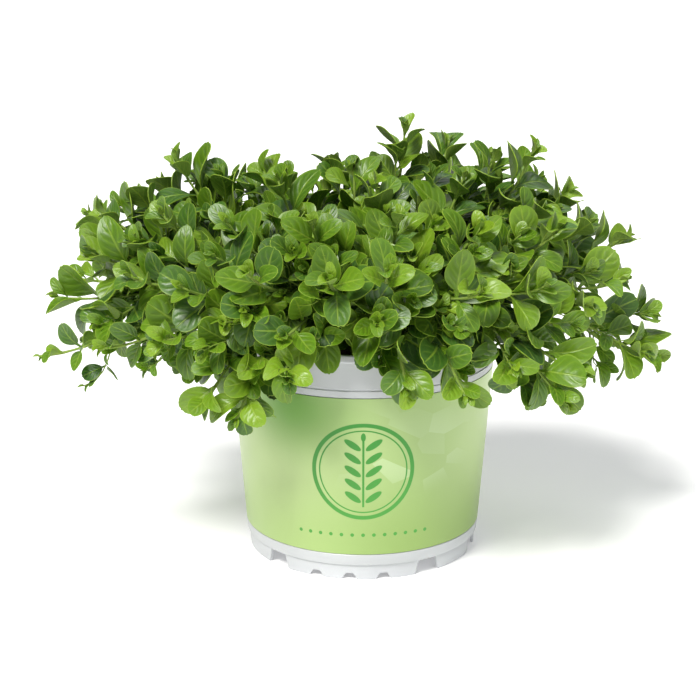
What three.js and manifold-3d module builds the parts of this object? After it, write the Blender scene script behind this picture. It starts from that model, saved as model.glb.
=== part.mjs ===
// An oregano plant growing in a white plastic nursery pot with a printed green sleeve.
// Millimetres, +Z up. The pot stands on z = 0 and the origin is the middle of the whole plant's outline.
import * as THREE from "three";
import { mergeVertices } from "three/addons/utils/BufferGeometryUtils.js";
import Module from "manifold-3d";

const wasm = await Module();
wasm.setup();

// ---------------------------------------------------------------- driving dimensions

const CLEARANCE = 0.3; // between neighbouring pieces
const POT = {
  height: 107,
  facets: 36,
  footRadius: 52.5,
  footHeight: 7.2,
  ledge: 0.9, // the wall stands this far out from the foot skirt
  skirtThickness: 1.4,
  floorThickness: 1.6,
  wall: 1.5,
  bandTop: 103.6, // where the rolled lip begins
  lip: 0.6, // how far the lip stands out from the wall
};
const SLEEVE = {
  bottom: 12.7,
  top: 87.0,
  bottomRadius: 54.2, // of the pot's wall at the sleeve's lower edge
  topRadius: 60.0, // and at its upper edge
  thickness: 0.3,
  recess: 0.6,
  seam: 1.6,
};
const TAPER = (SLEEVE.topRadius - SLEEVE.bottomRadius) / (SLEEVE.top - SLEEVE.bottom);
const FOOT = {
  lobes: 3,
  turn: -6.6, // degrees, from the front, to the middle of the front lobe
  lobeHalf: 33, // degrees
  lugFrom: 47, // degrees from the middle of a lobe to the near side of the lug beside it
  notchPitch: 16.8, // degrees between the small notches under a lobe
  notchWidth: 5.2,
  notchHeight: 2.8,
};
const DRAIN = { count: 6, turn: 20, circle: 38, radius: 4.5, facets: 8 };
const SOIL = { top: 98, crown: 3, facets: 24, rootDepth: 8 };
const STEM = {
  width: 1.9,
  twigWidth: 1.5,
  steps: 6, // straight stretches along a main stem
  crownRadius: 40, // within which the stems leave the potting mix
  leastRise: 58, // how far a stem climbs before it turns, at least
  riseShare: 0.45, // the same as a share of the way from root to tip
  outwardPull: 0.34,
  upwardPull: 0.94,
  tipPull: 0.36,
};
const CANOPY = { halfWidth: 150, halfDepth: 105, middle: 135 };

// Where each main stem ends: x, y, z and how steeply its tip climbs, in degrees.
const STEM_TIPS = [
  // the low fringe across the front, from left to right
  [-142, -42, 101, 2],
  [-136, -20, 122, 12],
  [-114, -54, 108, 8],
  [-87, -72, 117, 16],
  [-68, -79, 90, -40],
  [-54, -76, 83, -48],
  [-33, -88, 123, 8],
  [5, -91, 129, 18],
  [18, -85, 99, -38],
  [43, -82, 95, -32],
  [87, -66, 87, -36],
  [94, -56, 97, -10],
  [138, 20, 81, -16],
  // the face of the mound
  [-122, -12, 141, 34],
  [-101, -46, 138, 30],
  [-76, -72, 140, 34],
  [-48, -82, 148, 40],
  [-15, -88, 148, 40],
  [10, -90, 151, 42],
  [49, -79, 140, 34],
  [77, -62, 138, 32],
  [116, -8, 126, 24],
  // the shoulder
  [-118, 6, 156, 48],
  [-88, -26, 161, 54],
  [-58, -50, 163, 56],
  [-22, -56, 163, 58],
  [15, -52, 165, 60],
  [50, -50, 161, 56],
  [85, -32, 156, 52],
  [104, 14, 148, 44],
  // the top
  [-93, 40, 160, 56],
  [-84, 14, 178, 68],
  [-38, -4, 172, 72],
  [-47, 50, 167, 64],
  [6, -18, 174, 80],
  [-4, 26, 171, 80],
  [20, 42, 188, 80],
  [42, 68, 176, 62],
  [45, 0, 172, 72],
  [60, 46, 172, 66],
  [77, 12, 182, 70],
  [97, 38, 157, 50],
  // the back
  [-134, 30, 118, 12],
  [-131, 56, 142, 34],
  [-104, 72, 106, 2],
  [-70, 80, 156, 42],
  [-66, 88, 116, 10],
  [-36, 88, 142, 34],
  [-14, 74, 163, 56],
  [-24, 92, 111, -2],
  [8, 92, 133, 26],
  [30, 92, 108, -4],
  [46, 86, 152, 42],
  [74, 88, 118, 12],
  [86, 74, 148, 40],
  [108, 62, 120, 16],
  [125, 40, 135, 30],
];

// Pairs of leaves, counted back from the tip of a stem or of a side twig: how far back the pair sits,
// how long its leaves are, and how far they lean away from the stem in degrees.
const STEM_PAIRS = [
  { back: 10.5, length: 16.5, lean: 44 },
  { back: 19, length: 21, lean: 54 },
  { back: 29, length: 23, lean: 62 },
];
const TWIG_PAIRS = [{ back: 8, length: 15, lean: 44 }];
const TWIGS = { back: 48, length: 36, lean: 42 };
const LEAF = { slimness: 0.6, thickness: 1.0, widest: 0.45, towardsLight: 0.7 };
// The stems, by number, whose leaves stay smaller than the rest, and by how much.
const SMALL_LEAVED = { 1: 0.62, 3: 0.7, 43: 0.85, 45: 0.75 };
// Light reaches a leaf from above, from the front and from outside the plant, in these shares.
const LIGHT = { up: 0.8, front: 0.5, outward: 0.6 };

// The ways a leaf may turn to miss its neighbours, tried in order, in degrees: about its stem, then towards
// the tip.
const LEAF_TURNS = [
  [0, 0],
  [24, 0],
  [-24, 0],
  [0, 20],
  [0, -20],
  [38, 14],
  [-38, 14],
  [30, -22],
  [-30, -22],
];

// ---------------------------------------------------------------- small helpers

const radians = THREE.MathUtils.degToRad;
const UP = new THREE.Vector3(0, 0, 1);

/** A repeatable number from -1 to 1 for each place on the plant. */
function scatter(...place) {
  let state = 17;
  for (const part of place) state = (state * 48271 + part * 7919 + 11) % 2147483647;
  for (let round = 0; round < 3; round++) state = (state * 16807) % 2147483647;
  return (2 * state) / 2147483647 - 1;
}

/** A closed three.js geometry as a solid. */
function solidOf(geometry) {
  const bare = geometry.index ? geometry.toNonIndexed() : geometry.clone();
  bare.deleteAttribute("uv");
  bare.deleteAttribute("normal");
  const merged = mergeVertices(bare, 1e-4);
  return new wasm.Manifold(
    new wasm.Mesh({
      numProp: 3,
      vertProperties: merged.attributes.position.array,
      triVerts: new Uint32Array(merged.index.array),
    }),
  );
}

/** A solid as a named three.js mesh. */
function meshOf(name, solid, material) {
  const made = solid.getMesh();
  const geometry = new THREE.BufferGeometry();
  geometry.setAttribute("position", new THREE.BufferAttribute(made.vertProperties, 3));
  geometry.setIndex(new THREE.BufferAttribute(made.triVerts, 1));
  geometry.computeVertexNormals();
  const mesh = new THREE.Mesh(geometry, material);
  mesh.name = name;
  return mesh;
}

/** A solid of revolution about Z from [radius, height] points. */
function turned(points, facets) {
  const profile = points.map(([radius, height]) => new THREE.Vector2(radius, height));
  return solidOf(new THREE.LatheGeometry(profile, facets).rotateX(Math.PI / 2));
}

/** The radius of the pot's outer wall at a height. */
function wallRadius(z) {
  return SLEEVE.bottomRadius + TAPER * (z - SLEEVE.bottom);
}

/** A direction in plan, measured in degrees from the front (-Y) towards +X. */
function fromFront(degrees) {
  return new THREE.Vector3(Math.sin(radians(degrees)), -Math.cos(radians(degrees)), 0);
}

/** A block that cuts out through the foot skirt at an angle; its outline is drawn across and up. */
function footCutter(outline, degrees) {
  const shape = new THREE.Shape(outline.map(([across, up]) => new THREE.Vector2(across, up)));
  const reach = 12;
  const block = new THREE.ExtrudeGeometry(shape, { depth: reach, bevelEnabled: false });
  const outward = fromFront(degrees);
  const across = new THREE.Vector3().crossVectors(UP, outward);
  block.applyMatrix4(new THREE.Matrix4().makeBasis(across, UP, outward));
  const start = outward.multiplyScalar(POT.footRadius - reach / 2);
  block.translate(start.x, start.y, start.z);
  return solidOf(block);
}

// ---------------------------------------------------------------- the pot, its sleeve and the potting mix

function potSolid() {
  const { height, wall, footRadius, footHeight, ledge, lip, bandTop } = POT;
  const floor = footHeight + POT.floorThickness;
  const skirtInside = footRadius - POT.skirtThickness;
  let pot = turned(
    [
      [0, footHeight],
      [skirtInside, footHeight],
      [skirtInside, 0],
      [footRadius, 0],
      [wallRadius(footHeight) - ledge, footHeight],
      [wallRadius(footHeight), footHeight + 0.5],
      [wallRadius(SLEEVE.bottom), SLEEVE.bottom - CLEARANCE],
      [wallRadius(SLEEVE.bottom) - SLEEVE.recess, SLEEVE.bottom - CLEARANCE],
      [wallRadius(SLEEVE.top) - SLEEVE.recess, SLEEVE.top + CLEARANCE],
      [wallRadius(SLEEVE.top), SLEEVE.top + CLEARANCE],
      [wallRadius(bandTop), bandTop],
      [wallRadius(bandTop) + lip, bandTop + 0.5],
      [wallRadius(height) + lip, height - 0.6],
      [wallRadius(height) + lip - 0.5, height],
      [wallRadius(height) - wall, height],
      [wallRadius(floor) - wall, floor],
      [0, floor],
    ],
    POT.facets,
  );

  const arch = radians(FOOT.lugFrom - FOOT.lobeHalf) * footRadius;
  const archTop = footHeight - 0.6;
  const archOutline = [
    [-arch / 2 + 1.2, -1],
    [arch / 2 + 0.6, -1],
    [arch / 2 - 0.6, archTop - 1.5],
    [arch / 2 - 2, archTop],
    [-arch / 2 + 0.8, archTop],
    [-arch / 2 - 0.2, archTop - 2],
  ];
  const mirrored = archOutline.map(([across, up]) => [-across, up]).reverse();
  const half = FOOT.notchWidth / 2;
  const notchOutline = [
    [-half - 1, -1],
    [half + 1, -1],
    [half - 1, FOOT.notchHeight],
    [-half + 1, FOOT.notchHeight],
  ];
  const archMiddle = (FOOT.lobeHalf + FOOT.lugFrom) / 2;
  for (let lobe = 0; lobe < FOOT.lobes; lobe++) {
    const middle = FOOT.turn + (360 / FOOT.lobes) * lobe;
    pot = pot.subtract(footCutter(mirrored, middle - archMiddle));
    pot = pot.subtract(footCutter(archOutline, middle + archMiddle));
    for (const step of [-1, 0, 1]) {
      pot = pot.subtract(footCutter(notchOutline, middle + step * FOOT.notchPitch));
    }
  }

  for (let hole = 0; hole < DRAIN.count; hole++) {
    const spot = fromFront((360 / DRAIN.count) * hole + DRAIN.turn).multiplyScalar(DRAIN.circle);
    const bore = new THREE.CylinderGeometry(DRAIN.radius, DRAIN.radius, 8, DRAIN.facets);
    bore.rotateX(Math.PI / 2).translate(spot.x, spot.y, footHeight);
    pot = pot.subtract(solidOf(bore));
  }
  return pot;
}

function sleeveSolid() {
  const inside = (z) => wallRadius(z) - SLEEVE.recess + CLEARANCE;
  const outside = (z) => inside(z) + SLEEVE.thickness;
  const sleeve = turned(
    [
      [inside(SLEEVE.bottom), SLEEVE.bottom],
      [outside(SLEEVE.bottom), SLEEVE.bottom],
      [outside(SLEEVE.top), SLEEVE.top],
      [inside(SLEEVE.top), SLEEVE.top],
      [inside(SLEEVE.bottom), SLEEVE.bottom],
    ],
    POT.facets,
  );
  // the two ends of the film meet at the back with a fine gap
  const seam = new THREE.BoxGeometry(SLEEVE.seam, 12, 2 * POT.height);
  seam.translate(0, wallRadius(50), 0);
  return sleeve.subtract(solidOf(seam));
}

function soilSolid() {
  const bottom = POT.footHeight + POT.floorThickness + CLEARANCE;
  const inside = (z) => wallRadius(z) - POT.wall - 2 * CLEARANCE;
  const edge = SOIL.top - SOIL.crown;
  return turned(
    [
      [0, bottom],
      [inside(bottom), bottom],
      [inside(edge), edge],
      [inside(edge) * 0.8, SOIL.top],
      [0, SOIL.top],
    ],
    SOIL.facets,
  );
}

// ---------------------------------------------------------------- the plant

/** The foot of a stem in the potting mix: it is further out for a tip that is further out or lower. */
function rootOf([x, y, z]) {
  const across = x / CANOPY.halfWidth;
  const along = y / CANOPY.halfDepth;
  const outward = Math.hypot(across, along);
  const radius = STEM.crownRadius * outward * (1 + (CANOPY.middle - z) / 300);
  const height = SOIL.top - SOIL.rootDepth;
  return new THREE.Vector3((across / outward) * radius, (along / outward) * radius, height);
}

/** A main stem: up out of the potting mix, then over and outwards to its tip. */
function stemCurve(tip) {
  const [x, y, z, climb] = tip;
  const root = rootOf(tip);
  const end = new THREE.Vector3(x, y, z);
  const outward = new THREE.Vector3(x, y, 0).normalize();
  const heading = outward.clone().multiplyScalar(Math.cos(radians(climb)));
  heading.z = Math.sin(radians(climb));
  const span = root.distanceTo(end);
  const rise = Math.max(STEM.leastRise, STEM.riseShare * span);
  const first = root
    .clone()
    .addScaledVector(outward, STEM.outwardPull * rise)
    .addScaledVector(UP, STEM.upwardPull * rise);
  const second = end.clone().addScaledVector(heading, -STEM.tipPull * span);
  const curve = new THREE.CubicBezierCurve3(root, first, second, end);
  return Object.assign(curve, { steps: STEM.steps, sides: 4, foot: 0.5 });
}

/** Where a stem of straight stretches is, and which way its curve runs, at a distance back from its end. */
function station(curve, back) {
  const { steps } = curve;
  const along = 1 - back / curve.getLength();
  const joints = curve.getSpacedPoints(steps);
  const before = Math.min(Math.floor(along * steps), steps - 1);
  const point = joints[before].clone().lerp(joints[before + 1], along * steps - before);
  return { point, heading: curve.getTangentAt(along) };
}

/** The level direction across a stem, which every other pair of its leaves follows. */
function levelAcross(curve) {
  const start = curve.getPoint(0);
  const end = curve.getPoint(1);
  return new THREE.Vector3(start.y - end.y, end.x - start.x, 0).normalize();
}

/** The direction across a heading at an angle round it, counted from the level direction. */
function acrossAt(heading, level, angle) {
  const side = level.clone().addScaledVector(heading, -level.dot(heading)).normalize();
  const over = new THREE.Vector3().crossVectors(heading, side);
  return side.multiplyScalar(Math.cos(angle)).addScaledVector(over, Math.sin(angle));
}

/** A side twig, which leaves the stem at a joint, with its own key for scatter. */
function twigCurve(stem, side, key) {
  const { point, heading } = station(stem, TWIGS.back);
  const across = acrossAt(heading, levelAcross(stem), radians(18 * scatter(key, 90)));
  const length = TWIGS.length * (1 + 0.2 * scatter(key, side, 91));
  const end = point
    .clone()
    .addScaledVector(heading, length * Math.cos(radians(TWIGS.lean)))
    .addScaledVector(across, side * length * Math.sin(radians(TWIGS.lean)));
  const leafKey = key + (side < 0 ? 100 : 200);
  return Object.assign(new THREE.LineCurve3(point, end), { steps: 1, sides: 3, foot: 0, leafKey });
}

/** Where the light comes from at a point. */
function lightAt({ x, y }) {
  const outwardX = (LIGHT.outward * x) / CANOPY.halfWidth;
  const outwardY = (LIGHT.outward * y) / CANOPY.halfDepth;
  return new THREE.Vector3(outwardX, outwardY - LIGHT.front, LIGHT.up);
}

/** One leaf's place: its foot on the stem, its direction, its upper face and its length. */
function leafPlace(curve, pair, number, side, key, size, [swing, lift]) {
  const { point, heading } = station(curve, pair.back);
  const round = radians(90 * number + 22 * scatter(key, number, 1) + swing);
  const across = acrossAt(heading, levelAcross(curve), round);
  const lean = radians(pair.lean + 14 * scatter(key, number, side, 2) - lift);
  const direction = heading
    .clone()
    .multiplyScalar(Math.cos(lean))
    .addScaledVector(across, side * Math.sin(lean));
  const face = heading.clone().addScaledVector(direction, -heading.dot(direction)).normalize();
  const light = lightAt(point);
  light.addScaledVector(direction, -light.dot(direction));
  face.multiplyScalar(1 - LEAF.towardsLight).addScaledVector(light, LEAF.towardsLight).normalize();
  const length = size * pair.length * (1 + 0.2 * scatter(key, number, side, 3));
  point.addScaledVector(across, side * curve.foot);
  return { point, direction, face, length };
}

/** A leaf as a kite folded along its midrib; extra thickness and width make its keep-clear space. */
function leafSolid({ point, direction, face, length }, extra = 0) {
  const width = length * LEAF.slimness;
  const corner = Math.sqrt(1 / 3); // of the tetrahedron, along each axis
  const leaf = new THREE.TetrahedronGeometry(1).rotateZ(-Math.PI / 4).scale(
    Math.SQRT1_2 / corner,
    Math.SQRT1_2 / corner,
    1 / corner,
  );
  const corners = leaf.getAttribute("position");
  for (let i = 0; i < corners.count; i++) {
    const reach = corners.getX(i);
    const share = reach < 0 ? LEAF.widest : 1 - LEAF.widest;
    corners.setXYZ(
      i,
      length * LEAF.widest + reach * (length * share + extra),
      corners.getY(i) * (width / 2 + extra),
      corners.getZ(i) * (LEAF.thickness / 2 + extra),
    );
  }
  const side = new THREE.Vector3().crossVectors(face, direction);
  leaf.applyMatrix4(new THREE.Matrix4().makeBasis(direction, side, face).setPosition(point));
  return solidOf(leaf);
}

/** A straight-sided stalk along a curve, with a flat of its section towards a level direction. */
function stalkSolid(curve, width, level) {
  const { sides, steps } = curve;
  const { normals, binormals } = curve.computeFrenetFrames(steps, false);
  const turn = Math.atan2(level.dot(binormals[0]), level.dot(normals[0]));
  const corners = [...Array(sides).keys()].map((corner) => {
    const angle = turn + (2 * Math.PI * (corner + 0.5)) / sides;
    return new THREE.Vector2(Math.cos(angle), Math.sin(angle)).multiplyScalar(width * Math.SQRT1_2);
  });
  const section = new THREE.Shape(corners);
  return solidOf(new THREE.ExtrudeGeometry(section, { steps, extrudePath: curve, bevelEnabled: false }));
}

/** Whether two boxes come within a distance of each other. */
function boxesNear(a, b, distance) {
  return [0, 1, 2].every((i) => a.min[i] < b.max[i] + distance && b.min[i] < a.max[i] + distance);
}

class Shoot {
  constructor(tip, index) {
    this.key = index + 1;
    this.leafSize = SMALL_LEAVED[this.key] ?? 1;
    this.stem = stemCurve(tip);
    this.pieces = [];
    this.add(stalkSolid(this.stem, STEM.width, levelAcross(this.stem)));
  }

  add(solid) {
    this.pieces.push({ solid, box: solid.boundingBox() });
  }

  meets(solid, box) {
    return this.pieces.some(
      (piece) => boxesNear(piece.box, box, CLEARANCE) && piece.solid.minGap(solid, 1) < CLEARANCE,
    );
  }

  solid() {
    return this.pieces.slice(1).reduce((whole, piece) => whole.add(piece.solid), this.pieces[0].solid);
  }
}

/** Whether a solid keeps clear of every shoot but its own, and of the other pieces. */
function isClear(solid, own, shoots, fixtures) {
  const box = solid.boundingBox();
  if (fixtures.some((fixture) => fixture.minGap(solid, 1) < CLEARANCE)) return false;
  return !shoots.some((shoot) => shoot !== own && shoot.meets(solid, box));
}

/** Adds a leaf to its shoot in the first turn that misses everything, or leaves it off. */
function addLeaf(shoot, curve, pair, number, side, key, shoots, fixtures) {
  for (const turn of LEAF_TURNS) {
    const place = leafPlace(curve, pair, number, side, key, shoot.leafSize, turn);
    if (isClear(leafSolid(place, 0.2), shoot, shoots, fixtures)) {
      shoot.add(leafSolid(place));
      return true;
    }
  }
  return false;
}

function growShoots(fixtures) {
  const shoots = STEM_TIPS.map((tip, index) => new Shoot(tip, index));
  for (const shoot of shoots) {
    shoot.twigs = [-1, 1].map((side) => twigCurve(shoot.stem, side, shoot.key));
    shoot.twigs = shoot.twigs.filter((twig) => {
      const stalk = stalkSolid(twig, STEM.twigWidth, levelAcross(twig));
      const clear = isClear(stalk, shoot, shoots, fixtures);
      if (clear) shoot.add(stalk);
      return clear;
    });
  }
  STEM_PAIRS.forEach((pair, number) => {
    for (const shoot of shoots) {
      for (const side of [-1, 1]) {
        addLeaf(shoot, shoot.stem, pair, number, side, shoot.key, shoots, fixtures);
      }
    }
  });
  TWIG_PAIRS.forEach((pair, number) => {
    for (const shoot of shoots) {
      for (const twig of shoot.twigs) {
        for (const side of [-1, 1]) {
          addLeaf(shoot, twig, pair, number, side, twig.leafKey, shoots, fixtures);
        }
      }
    }
  });
  return shoots;
}

// ---------------------------------------------------------------- the whole object

const whitePlastic = new THREE.MeshStandardMaterial({ color: 0xf1f3f4, roughness: 0.32, metalness: 0 });
const printedFilm = new THREE.MeshStandardMaterial({ color: 0xb4d888, roughness: 0.38, metalness: 0 });
const pottingMix = new THREE.MeshStandardMaterial({ color: 0x2b211a, roughness: 0.95, metalness: 0 });
const youngLeaf = new THREE.MeshStandardMaterial({ color: 0x7fae3c, roughness: 0.55, metalness: 0 });
const grownLeaf = new THREE.MeshStandardMaterial({ color: 0x4f8a36, roughness: 0.55, metalness: 0 });

const pot = potSolid();
const sleeve = sleeveSolid();
let soil = soilSolid();
const shoots = growShoots([pot, sleeve]);
for (const { stem } of shoots) {
  const socket = stalkSolid(stem, STEM.width + 3 * CLEARANCE, levelAcross(stem));
  soil = soil.subtract(socket.translate(0, 0, -CLEARANCE));
}

const plant = new THREE.Group();
plant.add(meshOf("pot", pot, whitePlastic));
plant.add(meshOf("sleeve_label", sleeve, printedFilm));
plant.add(meshOf("potting_mix", soil, pottingMix));
shoots.forEach((shoot, index) => {
  const number = String(index + 1).padStart(2, "0");
  plant.add(meshOf("shoot_" + number, shoot.solid(), index % 3 ? grownLeaf : youngLeaf));
});

const outline = new THREE.Box3().setFromObject(plant);
const centre = outline.getCenter(new THREE.Vector3());
plant.position.set(-centre.x, -centre.y, 0);

export default plant;
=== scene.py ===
"""A potted oregano plant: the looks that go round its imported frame, in metres."""

from bisect import bisect_right
from collections import defaultdict, namedtuple
from itertools import product
from math import atan2, cos, degrees, hypot, isclose, pi, radians, sin, sqrt, tau

import bmesh
import bpy
from bpy.props import FloatProperty, FloatVectorProperty, IntProperty, PointerProperty
from bpy.types import Operator, Panel, PropertyGroup
from mathutils import Matrix, Vector, kdtree, noise
from mathutils.bvhtree import BVHTree


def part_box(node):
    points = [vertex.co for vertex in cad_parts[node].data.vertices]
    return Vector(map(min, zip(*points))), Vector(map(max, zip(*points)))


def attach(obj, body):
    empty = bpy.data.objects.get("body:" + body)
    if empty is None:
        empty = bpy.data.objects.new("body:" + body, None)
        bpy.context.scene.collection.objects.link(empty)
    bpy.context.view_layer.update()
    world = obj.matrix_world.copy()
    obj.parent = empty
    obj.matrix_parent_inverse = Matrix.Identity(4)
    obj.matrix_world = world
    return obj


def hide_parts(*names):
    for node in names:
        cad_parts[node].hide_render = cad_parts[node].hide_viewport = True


bl_info = {
    "name": "Potted Oregano",
    "version": (1, 0, 0),
    "blender": (4, 5, 0),
    "location": "View3D > Sidebar > Oregano",
    "description": "Builds a potted oregano plant round its packed frame",
    "category": "Add Mesh",
}

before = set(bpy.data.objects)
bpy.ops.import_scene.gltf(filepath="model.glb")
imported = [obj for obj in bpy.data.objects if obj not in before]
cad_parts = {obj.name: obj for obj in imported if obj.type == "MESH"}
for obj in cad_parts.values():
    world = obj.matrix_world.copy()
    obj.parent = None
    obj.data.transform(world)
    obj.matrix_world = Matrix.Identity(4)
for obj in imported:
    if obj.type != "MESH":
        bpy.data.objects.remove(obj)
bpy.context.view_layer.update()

# ---- measures

MM = 0.001
UP = Vector((0.0, 0.0, 1.0))

POT_LOW, POT_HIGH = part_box("pot")
POT_AXIS = Vector(((POT_LOW.x + POT_HIGH.x) / 2, (POT_LOW.y + POT_HIGH.y) / 2, 0.0))
SLEEVE_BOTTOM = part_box("sleeve_label")[0].z
SLEEVE_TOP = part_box("sleeve_label")[1].z
SLEEVE_THICKNESS = 0.3 * MM
WALL_AT_SLEEVE_BOTTOM = 54.2 * MM  # the wall's outer radius there
WALL_AT_SLEEVE_TOP = 60.0 * MM
WALL_TAPER = (WALL_AT_SLEEVE_TOP - WALL_AT_SLEEVE_BOTTOM) / (SLEEVE_TOP - SLEEVE_BOTTOM)
WALL = 1.5 * MM
WELD = 0.001 * MM  # points closer than this are one
CREASE = 32.0  # the pot's edges that turn by more, in degrees, look sharp
FOOT_RADIUS = 52.5 * MM
FOOT_HEIGHT = 7.2 * MM
LEDGE = 0.9 * MM  # the wall stands this far out from the foot skirt
FLOOR_THICKNESS = 1.6 * MM
SKIRT = 1.4 * MM
SLEEVE_GAP = 0.3 * MM  # from an end of the sleeve to the step in the wall
SLEEVE_RECESS = 0.6  # millimetres that the wall steps back behind the sleeve
GROOVE = 90.8 * MM
LIP_LINE = 103.6 * MM
BAND_HOLLOW = 0.3  # millimetres that the band between them is hollow
MIX_LOW, MIX_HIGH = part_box("potting_mix")
MIX_CROWN = 3.0 * MM

# The foot skirt, in degrees round from the middle of each lobe.
LOBES = 3
LOBE_TURN = -6.6  # from the front to the middle of the front lobe
LOBE_HALF = 33.0
LUG_FROM = 47.0
NOTCH_PITCH = 16.8
NOTCH_HALF = 2.8
NOTCH_HEIGHT = 2.8 * MM
ARCH_HEIGHT = FOOT_HEIGHT - 0.6 * MM
SLOPE = 1.6  # over which a notch or an arch rises
LUG_EDGE = 3.0  # to either side of where a lug starts, over which it swells
LUG_SWELL = 0.75  # of the ledge, in the middle of a lug
LUG_SWELL_HEIGHT = 3.0 * MM  # over which it swells upwards
SKIRT_NEAR = 0.8 * MM  # the skirt's vertices lie nearer to its inner or outer face

DRAINS = 6
DRAIN_TURN = 20.0
DRAIN_CIRCLE = 38.0 * MM
DRAIN_RADIUS = 4.5 * MM

# ---- the plant's layout, in millimetres

CANOPY_HALF_WIDTH = 150.0
CANOPY_HALF_DEPTH = 105.0
CANOPY_MIDDLE = 135.0
CROWN_RADIUS = 40.0
ROOT_HEIGHT = 90.0
LEAST_RISE = 58.0
RISE_SHARE = 0.45
OUTWARD_PULL = 0.34
UPWARD_PULL = 0.94
TIP_PULL = 0.36
STEM_STRETCHES = 6
TWIG_BACK = 48.0
TWIG_LENGTH = 36.0
TWIG_LEAN = 42.0
TOWARDS_LIGHT = 0.7
LIGHT_FROM_ABOVE, LIGHT_FROM_FRONT, LIGHT_FROM_OUTSIDE = 0.8, 0.5, 0.6
SOLID_LEAF_HALF_THICKNESS = 0.5
VARIATION = 0.2
ROOT_REACH = 300.0  # a stem whose tip is so much lower starts twice as far out
# How far, in degrees, these may stray: a twig, a side shoot and a pair of leaves round the stem, and a side
# shoot and a leaf in their lean from it.
TWIG_SWING, OFFSHOOT_SWING, PAIR_SWING = 18, 16, 22
OFFSHOOT_LEAN_SWING, LEAF_LEAN_SWING = 8, 14
LEAF_ROLL = 26.0  # how far a drawn leaf may roll about its own length, in degrees
FOOT_SHARE = 0.6  # how far a drawn leaf's foot is moved from the smooth stem to where the solid's is
SMALLEST_SLIMMER = 0.78  # the width of the shortest leaves, over that of long ones
FULL_AGE_BACK = 60  # how far back from the tip the leaves are as old as they get, in millimetres
AGE_SCATTER = 0.18

# Where each main stem ends: x, y, z from the pot's axis and how steeply its tip climbs, in degrees.
STEM_TIPS = (
    # the low fringe across the front, from left to right
    (-142, -42, 101, 2), (-136, -20, 122, 12), (-114, -54, 108, 8), (-87, -72, 117, 16),
    (-68, -79, 90, -40), (-54, -76, 83, -48), (-33, -88, 123, 8), (5, -91, 129, 18), (18, -85, 99, -38),
    (43, -82, 95, -32), (87, -66, 87, -36), (94, -56, 97, -10), (138, 20, 81, -16),
    # the face of the mound
    (-122, -12, 141, 34), (-101, -46, 138, 30), (-76, -72, 140, 34), (-48, -82, 148, 40),
    (-15, -88, 148, 40), (10, -90, 151, 42), (49, -79, 140, 34), (77, -62, 138, 32), (116, -8, 126, 24),
    # the shoulder
    (-118, 6, 156, 48), (-88, -26, 161, 54), (-58, -50, 163, 56), (-22, -56, 163, 58),
    (15, -52, 165, 60), (50, -50, 161, 56), (85, -32, 156, 52), (104, 14, 148, 44),
    # the top
    (-93, 40, 160, 56), (-84, 14, 178, 68), (-38, -4, 172, 72), (-47, 50, 167, 64), (6, -18, 174, 80),
    (-4, 26, 171, 80), (20, 42, 188, 80), (42, 68, 176, 62), (45, 0, 172, 72), (60, 46, 172, 66),
    (77, 12, 182, 70), (97, 38, 157, 50),
    # the back
    (-134, 30, 118, 12), (-131, 56, 142, 34), (-104, 72, 106, 2), (-70, 80, 156, 42),
    (-66, 88, 116, 10), (-36, 88, 142, 34), (-14, 74, 163, 56), (-24, 92, 111, -2), (8, 92, 133, 26),
    (30, 92, 108, -4), (46, 86, 152, 42), (74, 88, 118, 12), (86, 74, 148, 40), (108, 62, 120, 16),
    (125, 40, 135, 30),
)

# A pair of leaves: how far back from the tip it sits, how long its leaves are, how far they lean away
# from the stem in degrees, its number in the turn of pairs, and how likely each of its leaves is, of 1.
Pair = namedtuple("Pair", "back length lean number share", defaults=(1.0,))
SOLID_STEM_PAIRS = (
    Pair(10.5, 16.5, 44.0, 0),
    Pair(19.0, 21.0, 54.0, 1),
    Pair(29.0, 23.0, 62.0, 2),
)
SOLID_TWIG_PAIRS = (Pair(8.0, 15.0, 44.0, 0),)
SOFT_STEM_PAIRS = (
    Pair(1.0, 6.0, 18.0, -2),
    Pair(4.5, 10.5, 30.0, -1),
    Pair(39.0, 23.0, 64.0, 3),
    Pair(50.0, 21.0, 66.0, 4, 0.8),
    Pair(62.0, 19.0, 68.0, 5, 0.6),
    Pair(75.0, 17.0, 68.0, 6, 0.4),
)
SOFT_TWIG_PAIRS = (
    Pair(0.8, 5.5, 18.0, -2),
    Pair(3.6, 9.5, 30.0, -1),
    Pair(14.5, 17.0, 54.0, 1),
    Pair(22.0, 16.0, 60.0, 2, 0.9),
)
BUD_PAIRS = (  # on the short side shoots in the joint of a larger pair
    Pair(0.4, 4.0, 14.0, 1),
    Pair(1.2, 6.5, 34.0, 0),
)

# A side shoot too slight for the solids: how far back on the stem it starts, how long it is, how far it
# leans away in degrees, and its number in the turn of pairs.
Offshoot = namedtuple("Offshoot", "back length lean number")
LEAFY_TWIGS = (
    Offshoot(34.0, 24.0, 42.0, 1),
    Offshoot(66.0, 36.0, 42.0, 1),
    Offshoot(84.0, 34.0, 46.0, 2),
)
LEAFY_TWIG_PAIRS = SOFT_TWIG_PAIRS[:2] + (Pair(8.5, 14.5, 44.0, 0),) + SOFT_TWIG_PAIRS[2:]
BUDS = (
    Offshoot(29.0, 4.4, 36.0, 2),
    Offshoot(39.0, 5.0, 38.0, 3),
)
# The stems, by number, whose leaves stay smaller and sparser than the rest, and by how much.
SMALL_LEAVED = {1: 0.62, 3: 0.7, 43: 0.85, 45: 0.75}
BARE_FOOT = 22.0  # how much of a stem next to the potting mix has no leaves
TWIG_BARE_FOOT = 5.0

# The ways a leaf may turn to miss its neighbours, tried in order, in degrees: about its stem, then
# towards the tip.
LEAF_TURNS = ((0, 0), (24, 0), (-24, 0), (0, 20), (0, -20), (38, 14), (-38, 14), (30, -22), (-30, -22))

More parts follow.
